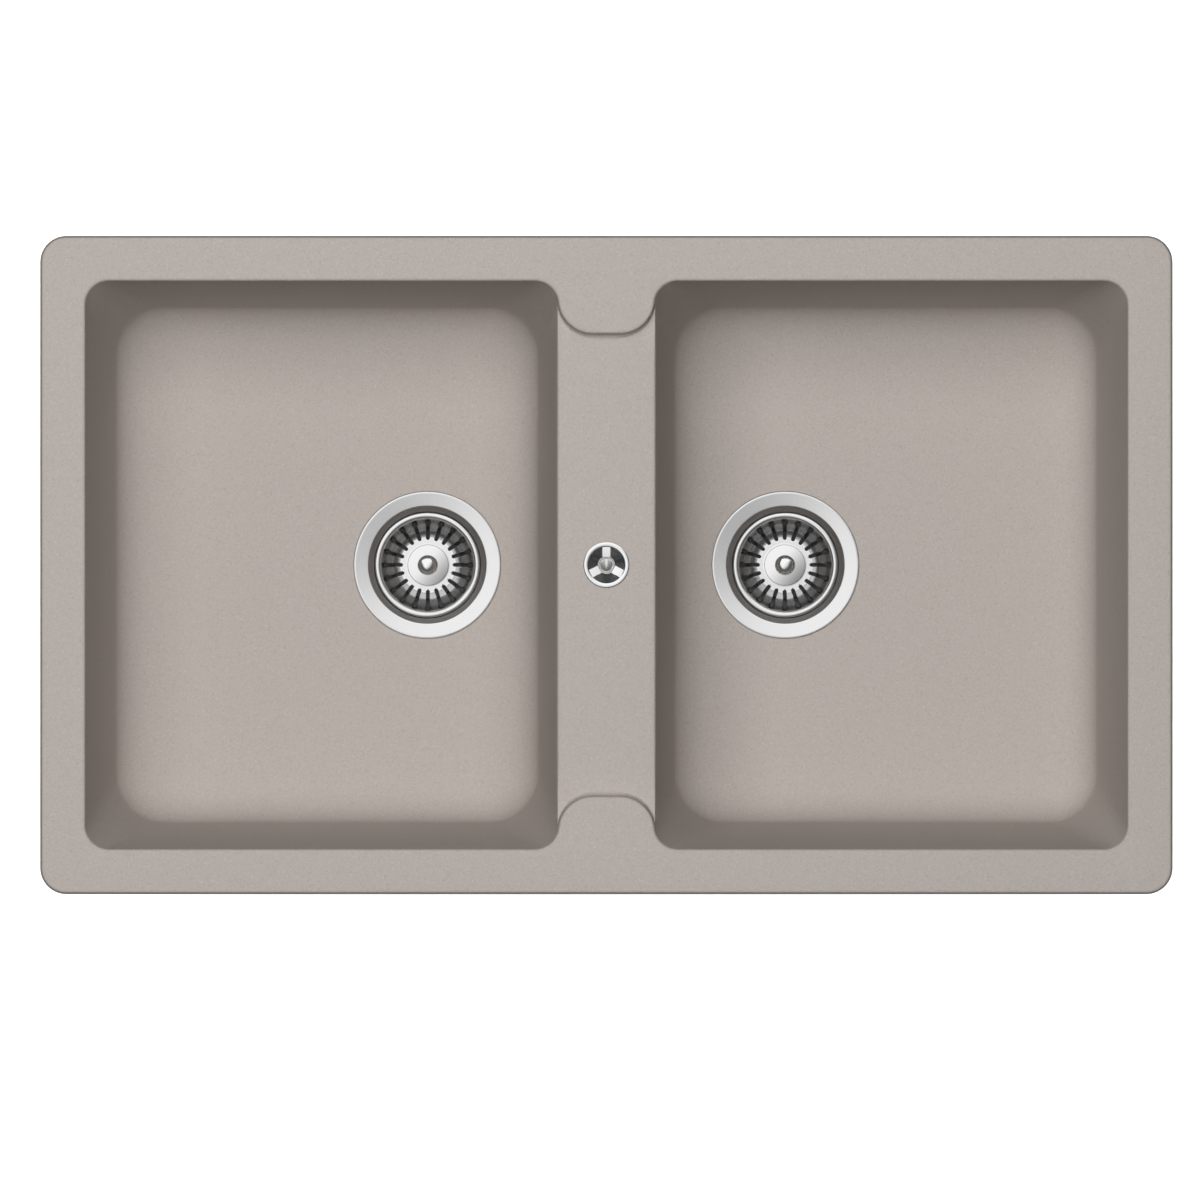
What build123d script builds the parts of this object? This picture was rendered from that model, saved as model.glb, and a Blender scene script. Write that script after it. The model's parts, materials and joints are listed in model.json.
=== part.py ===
from build123d import *
import os
from math import acos, atan2, cos, degrees, radians, sin, sqrt, tan

# Double bowl kitchen sink, dropped into a worktop from above. Millimetres.
# X runs along the worktop, Y points to the wall behind it and Z is up. The origin is the middle
# of the worktop cut-out, on the worktop's top face, which is also the plane the rim rests on.

# ---- driving dimensions: sink body, one casting of quartz composite ------------------------
SINK_LENGTH = 860.0
SINK_WIDTH = 500.0
SINK_CORNER_R = 20.0
RIM_HEIGHT = 9.0             # rim top above the worktop
RIM_EDGE_R = 3.5
RIM_BORDER = 34.0            # flat rim between the outer edge and a bowl
DIVIDER_WIDTH = 72.0         # between the two bowls, at the rim
BOWL_DEPTH = 190.0           # rim top to floor beside the wall
BOWL_CORNER_R = 18.0         # bowl corner in plan, at the rim
FLOOR_CORNER_R = 40.0        # bowl corner in plan, at the floor
BOWL_DRAFT = 5.6             # degrees that the walls lean in
MOUTH_EDGE_R = 2.5
FLOOR_FILLET_R = 28.0        # wall to floor
FLOOR_FALL = 3.0             # how far the floor falls to the waste
WALL = 9.5
FLOOR = 11.0
DIVIDER_DROP = 12.0          # top of the divider below the rim top
DIVIDER_SLAB = 10.0
TONGUE_REACH = 40.0          # rim tongues at the divider's two ends, past the bowl edge
TONGUE_R = 26.0
COVE_R = 5.0                 # foot of each tongue's wall, onto the divider
COVE_STEPS = 3
EDGE_FADE = 0.125            # share of the divider's edge radius left at each tongue
WASTE_FROM_DIVIDER = 103.0   # waste axis to the divider's edge at the rim

# ---- driving dimensions: seat in the worktop and its clips ---------------------------------
WORKTOP = 38.0               # thickness the clips grip
RIM_OVERLAP = 10.0           # rim past the edge of the worktop cut-out
SEAL_WIDTH = 4.0
SEAL_DEPTH = 2.0
SEAL_INSET = 3.0             # outer edge to seal groove
TAP_HOLE_R = 17.5
TAP_HOLE_WEB = 3.5           # left to be knocked out when a tap is fitted
TAP_HOLE_FROM_EDGE = 45.0
CLIPS_PER_LONG_SIDE = 3
CLIP_FROM_END = 140.0        # outer clips of a long side, from the sink's end
CLIP_LINE = 10.0             # screw axis inside the cut-out edge
BOSS_R = 6.5
BOSS_LENGTH = 18.0
DOWEL_R = 3.9
DOWEL_LENGTH = 14.0
DOWEL_COLLAR = 1.2
DOWEL_COLLAR_HEIGHT = 1.5
SCREW_R = 2.5
SCREW_HEAD_R = 4.6
SCREW_HEAD_HEIGHT = 3.2
SCREW_TIP = 1.0              # end of the shank below the dowel's tip
CROSS_SPAN = 6.5             # cross recess in the head
CROSS_WIDTH = 1.0
CROSS_DEPTH = 1.2
CLIP_WIDTH = 14.0
CLIP_STEEL = 2.0
CLIP_REACH = 40.0
CLIP_RISE = 6.0              # strap climbs this far from the screw to the toe
CLIP_SEAT = 1.5              # flat strap past the screw head
CLIP_TOE_LENGTH = 10.0       # level end of the strap
CLIP_TOE = 2.0               # teeth above the strap's end
CLIP_TEETH = 4

# ---- driving dimensions: strainer wastes ---------------------------------------------------
SHEET = 1.2                  # pressed steel dish
FLANGE_R = 56.8
FLANGE_GASKET = 1.0
DISH_MOUTH_R = 45.0
DISH_LIP_R = 1.5             # flange turning down into the dish
DISH_SHOULDER = 8.0
DISH_NECK_R = 43.2           # dish at its shoulder
DISH_WALL_R = 41.6
DISH_DEPTH = 37.0
DISH_BEND_R = 5.0            # wall to seat
DISH_SEAT_R = 23.0           # inner edge of the seat for the stopper
HUB_DROP = 5.0
HUB_PLATE_R = 21.0           # sunk plate with the hub in its middle
HUB_WINDOW_R = 19.0
HUB_R = 9.0
HUB_ARM = 7.0
HUB_ARMS = 4
BODY_GASKET = 3.0
BODY_BORE_R = 47.2
BODY_WALL = 2.8
BODY_FLANGE_R = 57.0
BODY_FLANGE = 4.0
BODY_DEPTH = 50.0            # flange top of the dish to the start of the body's cone
BODY_CONE = 16.0
SPIGOT_R = 23.9              # threaded outlet
SPIGOT_LENGTH = 24.0
SPIDER_ARMS = 4
SPIDER_ARM = 4.0
SPIDER_HEIGHT = 8.0
SPIDER_GAP = 3.6             # hub's underside to the spider
SPIDER_HUB = 5.6             # wall round the bolt
BOLT_R = 5.0
BOLT_HEAD_R = 8.0
BOLT_HEAD = 3.0
BOLT_BORE_R = 3.3
BOLT_TIP = 2.0               # bolt past its nut
NUT_HEIGHT = 6.0
NUT_ACROSS_FLATS = 16.0

# ---- driving dimensions: strainer baskets --------------------------------------------------
BASKET_RIM_R = 40.7
BASKET_MOUTH_R = 37.3
BASKET_RIM_DROP = 4.0        # rim top below the flange
BASKET_SHEET = 1.0
BASKET_FLOOR_R = 20.0
BASKET_SHOULDER_R = 12.0
CENTRE_DISC_R = 16.0
CENTRE_DISC_RISE = 1.2
SLOTS = 20
SLOT_WIDTH = 2.8
SLOT_INNER_R = 19.5
SLOT_OUTER_R = 34.4
STOPPER_R = 27.0
STOPPER = 4.0
STOPPER_BEVEL = 1.5
WASHER_R = 17.0
WASHER = 0.8
STEM_R = 2.8
STEM_GUIDE = 16.0            # stem inside the hollow bolt
STEM_THREAD_R = 2.0
KNOB_R = 7.4
KNOB_HEIGHT = 17.0
KNOB_NECK = 6.3              # neck below the ball
KNOB_NECK_R = 4.2
KNOB_FOOT_R = 5.2
KNOB_BELLY = 5.8             # widest place, below the top
KNOB_TOP_R = 3.3

# ---- driving dimensions: overflow ----------------------------------------------------------
ROSE_R = 17.5
ROSE_INNER_R = 14.3
ROSE_PLATE = 1.4
ROSE_PROUD = 0.6
ROSE_BEVEL = 0.6
ROSE_WALL = 0.8
ROSE_SKIRT = 8.0             # rose top to the end of the skirt in the hole
ROSE_HUB_R = 6.9             # cup for the screw head
ROSE_HUB_DROP = 3.6
ROSE_SPOKE = 6.5
ROSE_SPOKE_DROP = 0.8
ROSE_SPOKES = 3
OVERFLOW_GASKET = 0.8
OVERFLOW_BODY_GASKET = 2.0
OVERFLOW_FLANGE_R = 20.0
OVERFLOW_FLANGE = 3.0
OVERFLOW_CUP = 20.0
OVERFLOW_WALL = 2.4
OVERFLOW_WEBS = 3
OVERFLOW_WEB = 2.0
OVERFLOW_WEB_RISE = 3.0      # webs above the cup's floor
OVERFLOW_WEB_HEIGHT = 12.0
ROSE_SCREW_R = 2.5
ROSE_SCREW_HEAD_R = 5.2
ROSE_SCREW_HEAD = 2.0
ROSE_SCREW_CROWN = 1.4       # domed part of the head
ROSE_SCREW_SLOT = 1.8
BARB_R = 9.8
BARB_WALL = 2.3
BARB_LENGTH = 20.0
BARB_SHOULDER = 2.5          # shoulder that the hose butts on
INLET_BOSS = 3.0             # shoulder of the waste's inlet outside its wall
INLET_DROP = 34.0            # overflow inlet on the left waste, below its flange
HOSE_WALL = 1.4
HOSE_RIB = 1.6
HOSE_RIB_PITCH = 8.0
HOSE_BEND_R = 48.0
HOSE_BEND_STEPS = 8
HOSE_CUFF = 24.0
HOSE_CLIP_WIDTH = 9.0
HOSE_CLIP_STEEL = 1.2
HOSE_LUG_DEPTH = 5.5
HOSE_LUG_WIDTH = 9.0
HOSE_SCREW_R = 2.6
HOSE_SCREW_LENGTH = 8.0

# ---- driving dimensions: waste pipes -------------------------------------------------------
PIPE_R = 20.0
PIPE_WALL = 2.2
PIPE_INSERT = 12.0           # pipe pushed into a socket
PIPE_BEND_R = 35.0
PIPE_STRAIGHT = 2.0          # below the nut, before the bend
PIPE_NUT_R = 29.0
PIPE_NUT_LENGTH = 17.0
PIPE_NUT_LIP = 2.5
PIPE_NUT_BEVEL = 2.0
PIPE_NUT_RIBS = 12
PIPE_NUT_RIB = 3.0
PIPE_SEAL = 4.0
PIPE_SEAL_TAPER = 1.0
TEE_HALF_LENGTH = 46.0
TEE_SPIGOT = 40.0
TEE_COLLAR = 28.0
TEE_COLLAR_R = 23.4

# ---- clearances ----------------------------------------------------------------------------
RUN_GAP = 0.3                # between a moving piece and a fixed one
HINGE_GAP = 0.08             # clip around its screw
FIT_GAP = 0.1                # between fixed round pieces
LOOSE_GAP = 0.7              # flange in its recess, gasket round the waste
CUT = 1.0                    # how far a cutter runs past what it cuts, or a piece into its root

# ---- places worked out from the dimensions above -------------------------------------------
BOWL_LENGTH = (SINK_LENGTH - 2 * RIM_BORDER - DIVIDER_WIDTH) / 2
BOWL_WIDTH = SINK_WIDTH - 2 * RIM_BORDER
BOWL_X = (DIVIDER_WIDTH + BOWL_LENGTH) / 2
WASTE_X = DIVIDER_WIDTH / 2 + WASTE_FROM_DIVIDER
FLOOR_Z = RIM_HEIGHT - BOWL_DEPTH - FLOOR_FALL
UNDERSIDE_Z = FLOOR_Z - FLOOR
DIVIDER_Z = RIM_HEIGHT - DIVIDER_DROP
FLANGE_RECESS = SHEET + FLANGE_GASKET
DRAIN_HOLE_R = DISH_MOUTH_R + SHEET + LOOSE_GAP
HUB_Z = -DISH_DEPTH - HUB_DROP
BODY_TOP = -FLOOR - BODY_GASKET
SPIDER_Z = HUB_Z - SHEET - SPIDER_GAP
BOLT_END = SPIDER_Z - SPIDER_HEIGHT - NUT_HEIGHT - BOLT_TIP
SPIGOT_TOP = -BODY_DEPTH - BODY_CONE
SPIGOT_END = SPIGOT_TOP - SPIGOT_LENGTH
BASKET_BASE = -DISH_DEPTH + RUN_GAP + STOPPER + WASHER
STEM_END = HUB_Z + BOLT_HEAD - STEM_GUIDE
KNOB_BASE = BASKET_BASE + BASKET_SHEET + CENTRE_DISC_RISE
NUT_END = SPIGOT_END - PIPE_SEAL - PIPE_NUT_LIP
PIPE_Z = FLOOR_Z + NUT_END - PIPE_BEND_R - PIPE_STRAIGHT
ROSE_TOP = DIVIDER_Z + ROSE_PROUD
ROSE_HUB_Z = ROSE_TOP - ROSE_HUB_DROP
ROSE_RECESS = ROSE_PLATE - ROSE_PROUD + OVERFLOW_GASKET
OVERFLOW_BODY_Z = DIVIDER_Z - DIVIDER_SLAB - OVERFLOW_BODY_GASKET
OVERFLOW_CUP_Z = OVERFLOW_BODY_Z - OVERFLOW_FLANGE - OVERFLOW_CUP
OVERFLOW_WEB_Z = OVERFLOW_CUP_Z + OVERFLOW_WEB_RISE
BARB_TOP = OVERFLOW_CUP_Z - (ROSE_INNER_R - BARB_R)
INLET_Z = FLOOR_Z - INLET_DROP
INLET_SHOULDER = BODY_BORE_R + BODY_WALL + INLET_BOSS
INLET_SHOULDER_X = INLET_SHOULDER - WASTE_X
CLIP_Z = -WORKTOP - CLIP_TOE - CLIP_RISE


def bowl_inset(depth):
    """How far a bowl's wall has leaned in at a depth below the rim top."""
    return depth * tan(radians(BOWL_DRAFT))


def bowl_corner(depth):
    """Plan radius of a bowl's corner, which grows steadily down to the floor."""
    return BOWL_CORNER_R + (FLOOR_CORNER_R - BOWL_CORNER_R) * depth / BOWL_DEPTH


def bowl_section(depth, grow=0.0):
    """Plan section of the right bowl at a depth, grown outwards for the outside of the wall."""
    trim = 2 * (bowl_inset(depth) - grow)
    outline = RectangleRounded(BOWL_LENGTH - trim, BOWL_WIDTH - trim, bowl_corner(depth) + grow)
    return Pos(BOWL_X, 0, RIM_HEIGHT - depth) * outline


def opening_section(depth, cove=0.0):
    """Plan of both bowls and the lowered divider between them, at a depth.

    Each tongue's flat tip runs into an arc that meets the bowl's corner arc tangentially.
    """
    corner = bowl_corner(depth)
    tongue = TONGUE_R + bowl_inset(depth) + cove
    far_x = DIVIDER_WIDTH / 2 + BOWL_LENGTH - bowl_inset(depth)
    far_y = BOWL_WIDTH / 2 - bowl_inset(depth)
    corner_x = DIVIDER_WIDTH / 2 + bowl_inset(depth) + corner
    corner_y = far_y - corner
    tongue_y = BOWL_WIDTH / 2 - TONGUE_REACH + TONGUE_R
    tongue_x = corner_x - sqrt((corner + tongue) ** 2 - (tongue_y - corner_y) ** 2)
    join = degrees(atan2(tongue_y - corner_y, tongue_x - corner_x))

    def arc(x, y, radius, start, end):
        """Arc about a centre in the first quadrant, as three points."""
        angles = [radians(a) for a in (start, (start + end) / 2, end)]
        return [(x + radius * cos(a), y + radius * sin(a)) for a in angles]

    tip = tongue_y - tongue
    runs = [
        [(0, tip), (tongue_x, tip)],
        arc(tongue_x, tongue_y, tongue, -90, join - 180),
        arc(corner_x, corner_y, corner, join, 90),
        [(corner_x, far_y), (far_x - corner, far_y)],
        arc(far_x - corner, corner_y, corner, 90, 0),
        [(far_x, corner_y), (far_x, 0)],
    ]
    edges = []
    for side_x in (1, -1):
        for side_y in (1, -1):
            for run in runs:
                points = [(x * side_x, y * side_y) for x, y in run]
                curve = Line if len(points) == 2 else ThreePointArc
                edges.append(curve(*points))
    return Pos(0, 0, RIM_HEIGHT - depth) * Face(Wire(edges))


def mouth_air():
    """The space above the divider: both mouths joined, with a cove at each tongue's foot."""
    sections = [opening_section(0)]
    for step in range(COVE_STEPS + 1):
        turn = radians(90 * step / COVE_STEPS)
        depth = DIVIDER_DROP - COVE_R * (1 - sin(turn))
        sections.append(opening_section(depth, COVE_R * (1 - cos(turn))))
    return loft(sections, ruled=True)


def bowl_air():
    """The right bowl below the divider's top: drafted walls and a crowned floor."""
    walls = loft([bowl_section(DIVIDER_DROP), bowl_section(BOWL_DEPTH + FLOOR_FALL + CUT)], ruled=True)
    reach = BOWL_X + BOWL_LENGTH / 2 - bowl_inset(BOWL_DEPTH) - WASTE_X
    crown_r = (reach ** 2 + FLOOR_FALL ** 2) / (2 * FLOOR_FALL)
    bowl = walls & Pos(WASTE_X, 0, FLOOR_Z + crown_r) * Rot(90, 0, 0) * Sphere(crown_r)
    foot = bowl.edges().filter_by(lambda e: e.bounding_box().max.Z < FLOOR_Z + FLOOR_FILLET_R)
    return fillet(foot, FLOOR_FILLET_R)


def divider_edge():
    """Waste stock that rounds the divider's right edge, fading out towards each tongue.

    Its arc runs a little past the wall and the divider's top, so that it crosses both.
    """
    lean = radians(BOWL_DRAFT)
    edge_x = DIVIDER_WIDTH / 2 + bowl_inset(DIVIDER_DROP)
    full = BOWL_WIDTH / 2 - TONGUE_REACH - TONGUE_R
    end = opening_corner_y()
    fade_r = MOUTH_EDGE_R * EDGE_FADE
    sections = []
    for y, radius in ((-end, fade_r), (-full, MOUTH_EDGE_R), (full, MOUTH_EDGE_R), (end, fade_r)):
        flat = radius * tan((radians(90) - lean) / 2)
        past = radius * 1.01
        arc = [
            (edge_x - flat + reach * cos(turn), DIVIDER_Z - radius + reach * sin(turn))
            for reach, turn in ((past, lean), (radius, (radians(90) + lean) / 2), (past, radians(90)))]
        (low_x, low_z), _, (top_x, _) = arc
        corners = [(top_x, DIVIDER_Z + CUT), (edge_x + CUT, DIVIDER_Z + CUT), (low_x + CUT, low_z)]
        outside = Polyline(arc[-1], *corners, arc[0])
        place = Plane(origin=(0, y, 0), x_dir=(1, 0, 0), z_dir=(0, -1, 0))
        sections.append(place * Face(Wire([ThreePointArc(*arc), *outside.edges()])))
    return loft(sections, ruled=True)


def opening_corner_y():
    """Where the straight edge of the divider ends and the bowl's corner begins."""
    return BOWL_WIDTH / 2 - bowl_inset(DIVIDER_DROP) - bowl_corner(DIVIDER_DROP)


def ring(outer_r, inner_r, bottom, height):
    """A flat ring about Z."""
    return Pos(0, 0, bottom) * extrude(Circle(outer_r) - Circle(inner_r), height)


def rod(radius, bottom, height):
    """A cylinder about Z from a height upwards."""
    return Pos(0, 0, bottom) * extrude(Circle(radius), height)


def turned(*points):
    """Revolve a closed outline of (radius, height) points about Z."""
    outline = [(r, 0, z) for r, z in points]
    return revolve(Face(Wire(Polyline(*outline, close=True))), Axis.Z)


def around(count, piece, start=0.0):
    """Copies of a piece spaced evenly about Z."""
    return [Rot(0, 0, start + 360 * i / count) * piece for i in range(count)]


def clip_places():
    """(x, y, outward angle) of each clip's screw, back row first, then right, left and front."""
    along = SINK_LENGTH / 2 - RIM_OVERLAP - CLIP_LINE
    across = SINK_WIDTH / 2 - RIM_OVERLAP - CLIP_LINE
    last = SINK_LENGTH / 2 - CLIP_FROM_END
    row = [last * (2 * i / (CLIPS_PER_LONG_SIDE - 1) - 1) for i in range(CLIPS_PER_LONG_SIDE)]
    places = [(x, across, 90) for x in row]
    places += [(along, 0, 0), (-along, 0, 180)]
    places += [(x, -across, 270) for x in row]
    return places


def seal_ring(grow=0.0):
    """Plan of the seal's groove, or of the seal when it is shrunk a little."""
    outer = SEAL_INSET - grow
    inner = SEAL_INSET + SEAL_WIDTH + grow
    outside = RectangleRounded(SINK_LENGTH - 2 * outer, SINK_WIDTH - 2 * outer, SINK_CORNER_R - outer)
    inside = RectangleRounded(SINK_LENGTH - 2 * inner, SINK_WIDTH - 2 * inner, SINK_CORNER_R - inner)
    return outside - inside


def sink_body():
    """Rim, two drafted bowls, the lowered divider between them, and every hole and boss."""
    body = extrude(RectangleRounded(SINK_LENGTH, SINK_WIDTH, SINK_CORNER_R), RIM_HEIGHT)
    body = fillet(body.edges().group_by(Axis.Z)[-1], RIM_EDGE_R)

    shell = loft([bowl_section(RIM_HEIGHT / 2, WALL), bowl_section(RIM_HEIGHT - UNDERSIDE_Z, WALL)],
                 ruled=True)
    shell = fillet(shell.edges().group_by(Axis.Z)[0], FLOOR_FILLET_R + WALL / 2)
    saddle_y = 2 * (BOWL_WIDTH / 2 - TONGUE_REACH + WALL)
    saddle = Pos(0, 0, DIVIDER_Z - DIVIDER_SLAB) * extrude(
        Rectangle(DIVIDER_WIDTH + WALL, saddle_y), RIM_HEIGHT / 2 - DIVIDER_Z + DIVIDER_SLAB)
    bosses = [Pos(x, y, 0) * rod(BOSS_R, -BOSS_LENGTH, BOSS_LENGTH + CUT) for x, y, _ in clip_places()]
    body += [shell, mirror(shell, Plane.YZ), saddle] + bosses

    bowl = bowl_air()
    body -= mouth_air() + [bowl, mirror(bowl, Plane.YZ)]
    mouth = body.faces().filter_by(Plane.XY).sort_by(Axis.Z)[-1].inner_wires()[0]
    body = fillet(mouth.edges(), MOUTH_EDGE_R)
    edge = divider_edge()
    body -= edge
    body -= mirror(edge, Plane.YZ)

    cuts = []
    for side in (-1, 1):
        drain = rod(DRAIN_HOLE_R, -FLOOR - CUT, FLOOR + 2 * CUT)
        drain += rod(FLANGE_R + LOOSE_GAP, -FLANGE_RECESS, FLANGE_RECESS + FLOOR_FALL)
        cuts.append(Pos(side * WASTE_X, 0, FLOOR_Z) * drain)
        tap_y = side * (SINK_WIDTH / 2 - TAP_HOLE_FROM_EDGE)
        cuts.append(Pos(0, tap_y, 0) * rod(TAP_HOLE_R, -CUT, RIM_HEIGHT - TAP_HOLE_WEB + CUT))
    for x, y, _ in clip_places():
        cuts.append(Pos(x, y, 0) * rod(DOWEL_R + FIT_GAP, -BOSS_LENGTH - CUT, DOWEL_LENGTH + 1.5 * CUT))
    cuts.append(rod(ROSE_INNER_R + FIT_GAP, DIVIDER_Z - DIVIDER_SLAB - CUT, DIVIDER_SLAB + 2 * CUT))
    cuts.append(rod(ROSE_R + FIT_GAP, DIVIDER_Z - ROSE_RECESS, ROSE_RECESS + CUT))
    cuts.append(extrude(seal_ring(), SEAL_DEPTH))
    return body - cuts


def worktop_seal():
    """Foam strip in the groove under the rim, flush with the worktop."""
    return extrude(seal_ring(-FIT_GAP), SEAL_DEPTH)


def worktop_clip():
    """Bent steel strap about its screw at the origin, pointing along X, with a toothed toe."""
    base = CLIP_Z - CLIP_STEEL
    heel = -CLIP_WIDTH / 2
    bend = SCREW_HEAD_R + CLIP_SEAT
    toe = CLIP_REACH - CLIP_TOE_LENGTH
    slope = atan2(CLIP_RISE, toe - bend)
    crease = CLIP_STEEL * tan(slope / 2)
    low = base + CLIP_STEEL
    high = low + CLIP_RISE
    tip = high + CLIP_TOE
    inner = CLIP_REACH - CLIP_STEEL
    profile = Polyline(
        (heel, base), (bend, base), (toe, base + CLIP_RISE), (CLIP_REACH, base + CLIP_RISE),
        (CLIP_REACH, tip), (inner, tip), (inner, high), (toe - crease, high), (bend - crease, low),
        (heel, low), close=True)
    strap = extrude(Plane.XZ * Face(Wire(profile)), CLIP_WIDTH / 2, both=True)
    plan = Pos(CLIP_REACH, 0) * Rectangle(2 * CLIP_REACH, CLIP_WIDTH) + Circle(CLIP_WIDTH / 2)
    strap &= Pos(0, 0, base - CUT) * extrude(plan, tip - base + 2 * CUT)
    strap -= rod(SCREW_R + HINGE_GAP, base - CUT, CLIP_STEEL + 2 * CUT)
    pitch = CLIP_WIDTH / CLIP_TEETH
    notch = Polyline((-pitch / 2, 0), (0, 2 * FIT_GAP - CLIP_TOE), (pitch / 2, 0), close=True)
    notch = extrude(Plane.YZ * Face(Wire(notch)), 2 * CLIP_STEEL)
    for i in range(CLIP_TEETH - 1):
        y = pitch * (i - (CLIP_TEETH - 2) / 2)
        strap -= Pos(CLIP_REACH - 1.5 * CLIP_STEEL, y, tip) * notch
    return strap


def clip_screw():
    """Headed screw, driven up from below, that carries one clip on its head."""
    head_top = CLIP_Z - CLIP_STEEL - RUN_GAP
    head_base = head_top - SCREW_HEAD_HEIGHT
    shank_top = DOWEL_LENGTH - BOSS_LENGTH - SCREW_TIP
    head = rod(SCREW_HEAD_R, head_base, SCREW_HEAD_HEIGHT)
    head = fillet(head.edges().group_by(Axis.Z)[0], SCREW_HEAD_HEIGHT / 3)
    cross = Rectangle(CROSS_SPAN, CROSS_WIDTH) + Rectangle(CROSS_WIDTH, CROSS_SPAN)
    head -= Pos(0, 0, head_base) * extrude(cross, CROSS_DEPTH)
    return head + rod(SCREW_R, head_top, shank_top - head_top)


def clip_dowel():
    """Plastic plug pressed into a boss, with a bore for the screw and a collar below it."""
    bottom = -BOSS_LENGTH
    foot = bottom - DOWEL_COLLAR_HEIGHT
    collar_r = DOWEL_R + DOWEL_COLLAR
    bore_r = SCREW_R + FIT_GAP / 2
    top = bottom + DOWEL_LENGTH
    return turned((bore_r, foot), (collar_r, foot), (collar_r, bottom), (DOWEL_R, bottom),
                  (DOWEL_R, top), (bore_r, top))


def waste_flange():
    """Pressed steel dish: flange, tapered wall, stopper seat and a sunk hub on four arms."""
    seat = -DISH_DEPTH
    back = seat - SHEET
    bend = DISH_BEND_R
    wall_r = DISH_WALL_R - bend
    hub_back = HUB_Z - SHEET
    bore_r = BOLT_R + FIT_GAP
    outline = [
        Line((FLANGE_R, -SHEET), (FLANGE_R, -SHEET / 2)),
        Line((FLANGE_R, -SHEET / 2), (FLANGE_R - SHEET / 2, 0)),
        Line((FLANGE_R - SHEET / 2, 0), (DISH_MOUTH_R + DISH_LIP_R, 0)),
        TangentArc((DISH_MOUTH_R + DISH_LIP_R, 0), (DISH_MOUTH_R, -DISH_LIP_R), tangent=(-1, 0)),
        Line((DISH_MOUTH_R, -DISH_LIP_R), (DISH_NECK_R, -DISH_SHOULDER)),
        Line((DISH_NECK_R, -DISH_SHOULDER), (DISH_WALL_R, seat + bend)),
        TangentArc((DISH_WALL_R, seat + bend), (wall_r, seat), tangent=(0, -1)),
        Line((wall_r, seat), (DISH_SEAT_R, seat)),
        Line((DISH_SEAT_R, seat), (HUB_PLATE_R, HUB_Z)),
        Line((HUB_PLATE_R, HUB_Z), (bore_r, HUB_Z)),
        Line((bore_r, HUB_Z), (bore_r, hub_back)),
        Line((bore_r, hub_back), (HUB_PLATE_R + SHEET, hub_back)),
        Line((HUB_PLATE_R + SHEET, hub_back), (DISH_SEAT_R + SHEET, back)),
        Line((DISH_SEAT_R + SHEET, back), (wall_r, back)),
        TangentArc((wall_r, back), (DISH_WALL_R + SHEET, seat + bend), tangent=(1, 0)),
        Line((DISH_WALL_R + SHEET, seat + bend), (DISH_NECK_R + SHEET, -DISH_SHOULDER)),
        Line((DISH_NECK_R + SHEET, -DISH_SHOULDER), (DISH_MOUTH_R + SHEET, -SHEET)),
        Line((DISH_MOUTH_R + SHEET, -SHEET), (FLANGE_R, -SHEET)),
    ]
    dish = revolve(Plane.XZ * Face(Wire(outline)), Axis.Z)
    window = Circle(HUB_WINDOW_R) - Circle(HUB_R)
    for arm in around(HUB_ARMS, Pos(DISH_SEAT_R / 2, 0) * Rectangle(DISH_SEAT_R, HUB_ARM)):
        window -= arm
    return dish - Pos(0, 0, hub_back - CUT) * extrude(window, SHEET + 2 * CUT)


def centre_bolt():
    """Hollow bolt that pulls the dish and the body together and guides the basket's stem."""
    head_top = HUB_Z + BOLT_HEAD
    head = Pos(0, 0, HUB_Z) * extrude(RegularPolygon(BOLT_HEAD_R, 6), BOLT_HEAD)
    bolt = head + rod(BOLT_R, BOLT_END, HUB_Z - BOLT_END)
    return bolt - rod(BOLT_BORE_R, head_top - STEM_GUIDE - 2 * CUT, STEM_GUIDE + 3 * CUT)


def centre_nut():
    """Brass nut under the body's spider."""
    hexagon = RegularPolygon(NUT_ACROSS_FLATS / 2, 6, major_radius=False)
    nut = extrude(hexagon - Circle(BOLT_R + FIT_GAP / 2), NUT_HEIGHT)
    return Pos(0, 0, SPIDER_Z - SPIDER_HEIGHT - NUT_HEIGHT) * nut


def waste_body(has_inlet):
    """Moulded body under the bowl, with a spider for the bolt and a threaded outlet."""
    outer_r = BODY_BORE_R + BODY_WALL
    root_r = BODY_BORE_R + BODY_WALL / 2
    bore_r = PIPE_R + FIT_GAP
    under = BODY_TOP - BODY_FLANGE
    body = turned(
        (BODY_BORE_R, BODY_TOP), (BODY_FLANGE_R, BODY_TOP), (BODY_FLANGE_R, under), (outer_r, under),
        (outer_r, -BODY_DEPTH), (SPIGOT_R, SPIGOT_TOP), (SPIGOT_R, SPIGOT_END), (bore_r, SPIGOT_END),
        (bore_r, SPIGOT_TOP), (BODY_BORE_R, -BODY_DEPTH))
    spider = Circle(BOLT_R + SPIDER_HUB)
    for arm in around(SPIDER_ARMS, Pos(root_r / 2, 0) * Rectangle(root_r, SPIDER_ARM), 45):
        spider += arm
    spider = Pos(0, 0, SPIDER_Z - SPIDER_HEIGHT) * extrude(spider & Circle(root_r), SPIDER_HEIGHT)
    inside = turned((0, BODY_TOP), (root_r, BODY_TOP), (root_r, -BODY_DEPTH), (bore_r, SPIGOT_TOP),
                    (0, SPIGOT_TOP))
    body += spider & inside
    if has_inlet:
        axis = Pos(0, 0, -INLET_DROP) * Rot(0, 90, 0)
        barb_end = INLET_SHOULDER + BARB_LENGTH
        boss = axis * rod(BARB_R + BARB_SHOULDER, 0, INLET_SHOULDER) + axis * rod(BARB_R, 0, barb_end)
        body += boss - rod(root_r, -BODY_DEPTH, BODY_DEPTH)
        body -= axis * rod(BARB_R - BARB_WALL, 0, barb_end + CUT)
    return body - rod(BOLT_R + FIT_GAP, BOLT_END, SPIDER_Z - BOLT_END + CUT)


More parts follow.
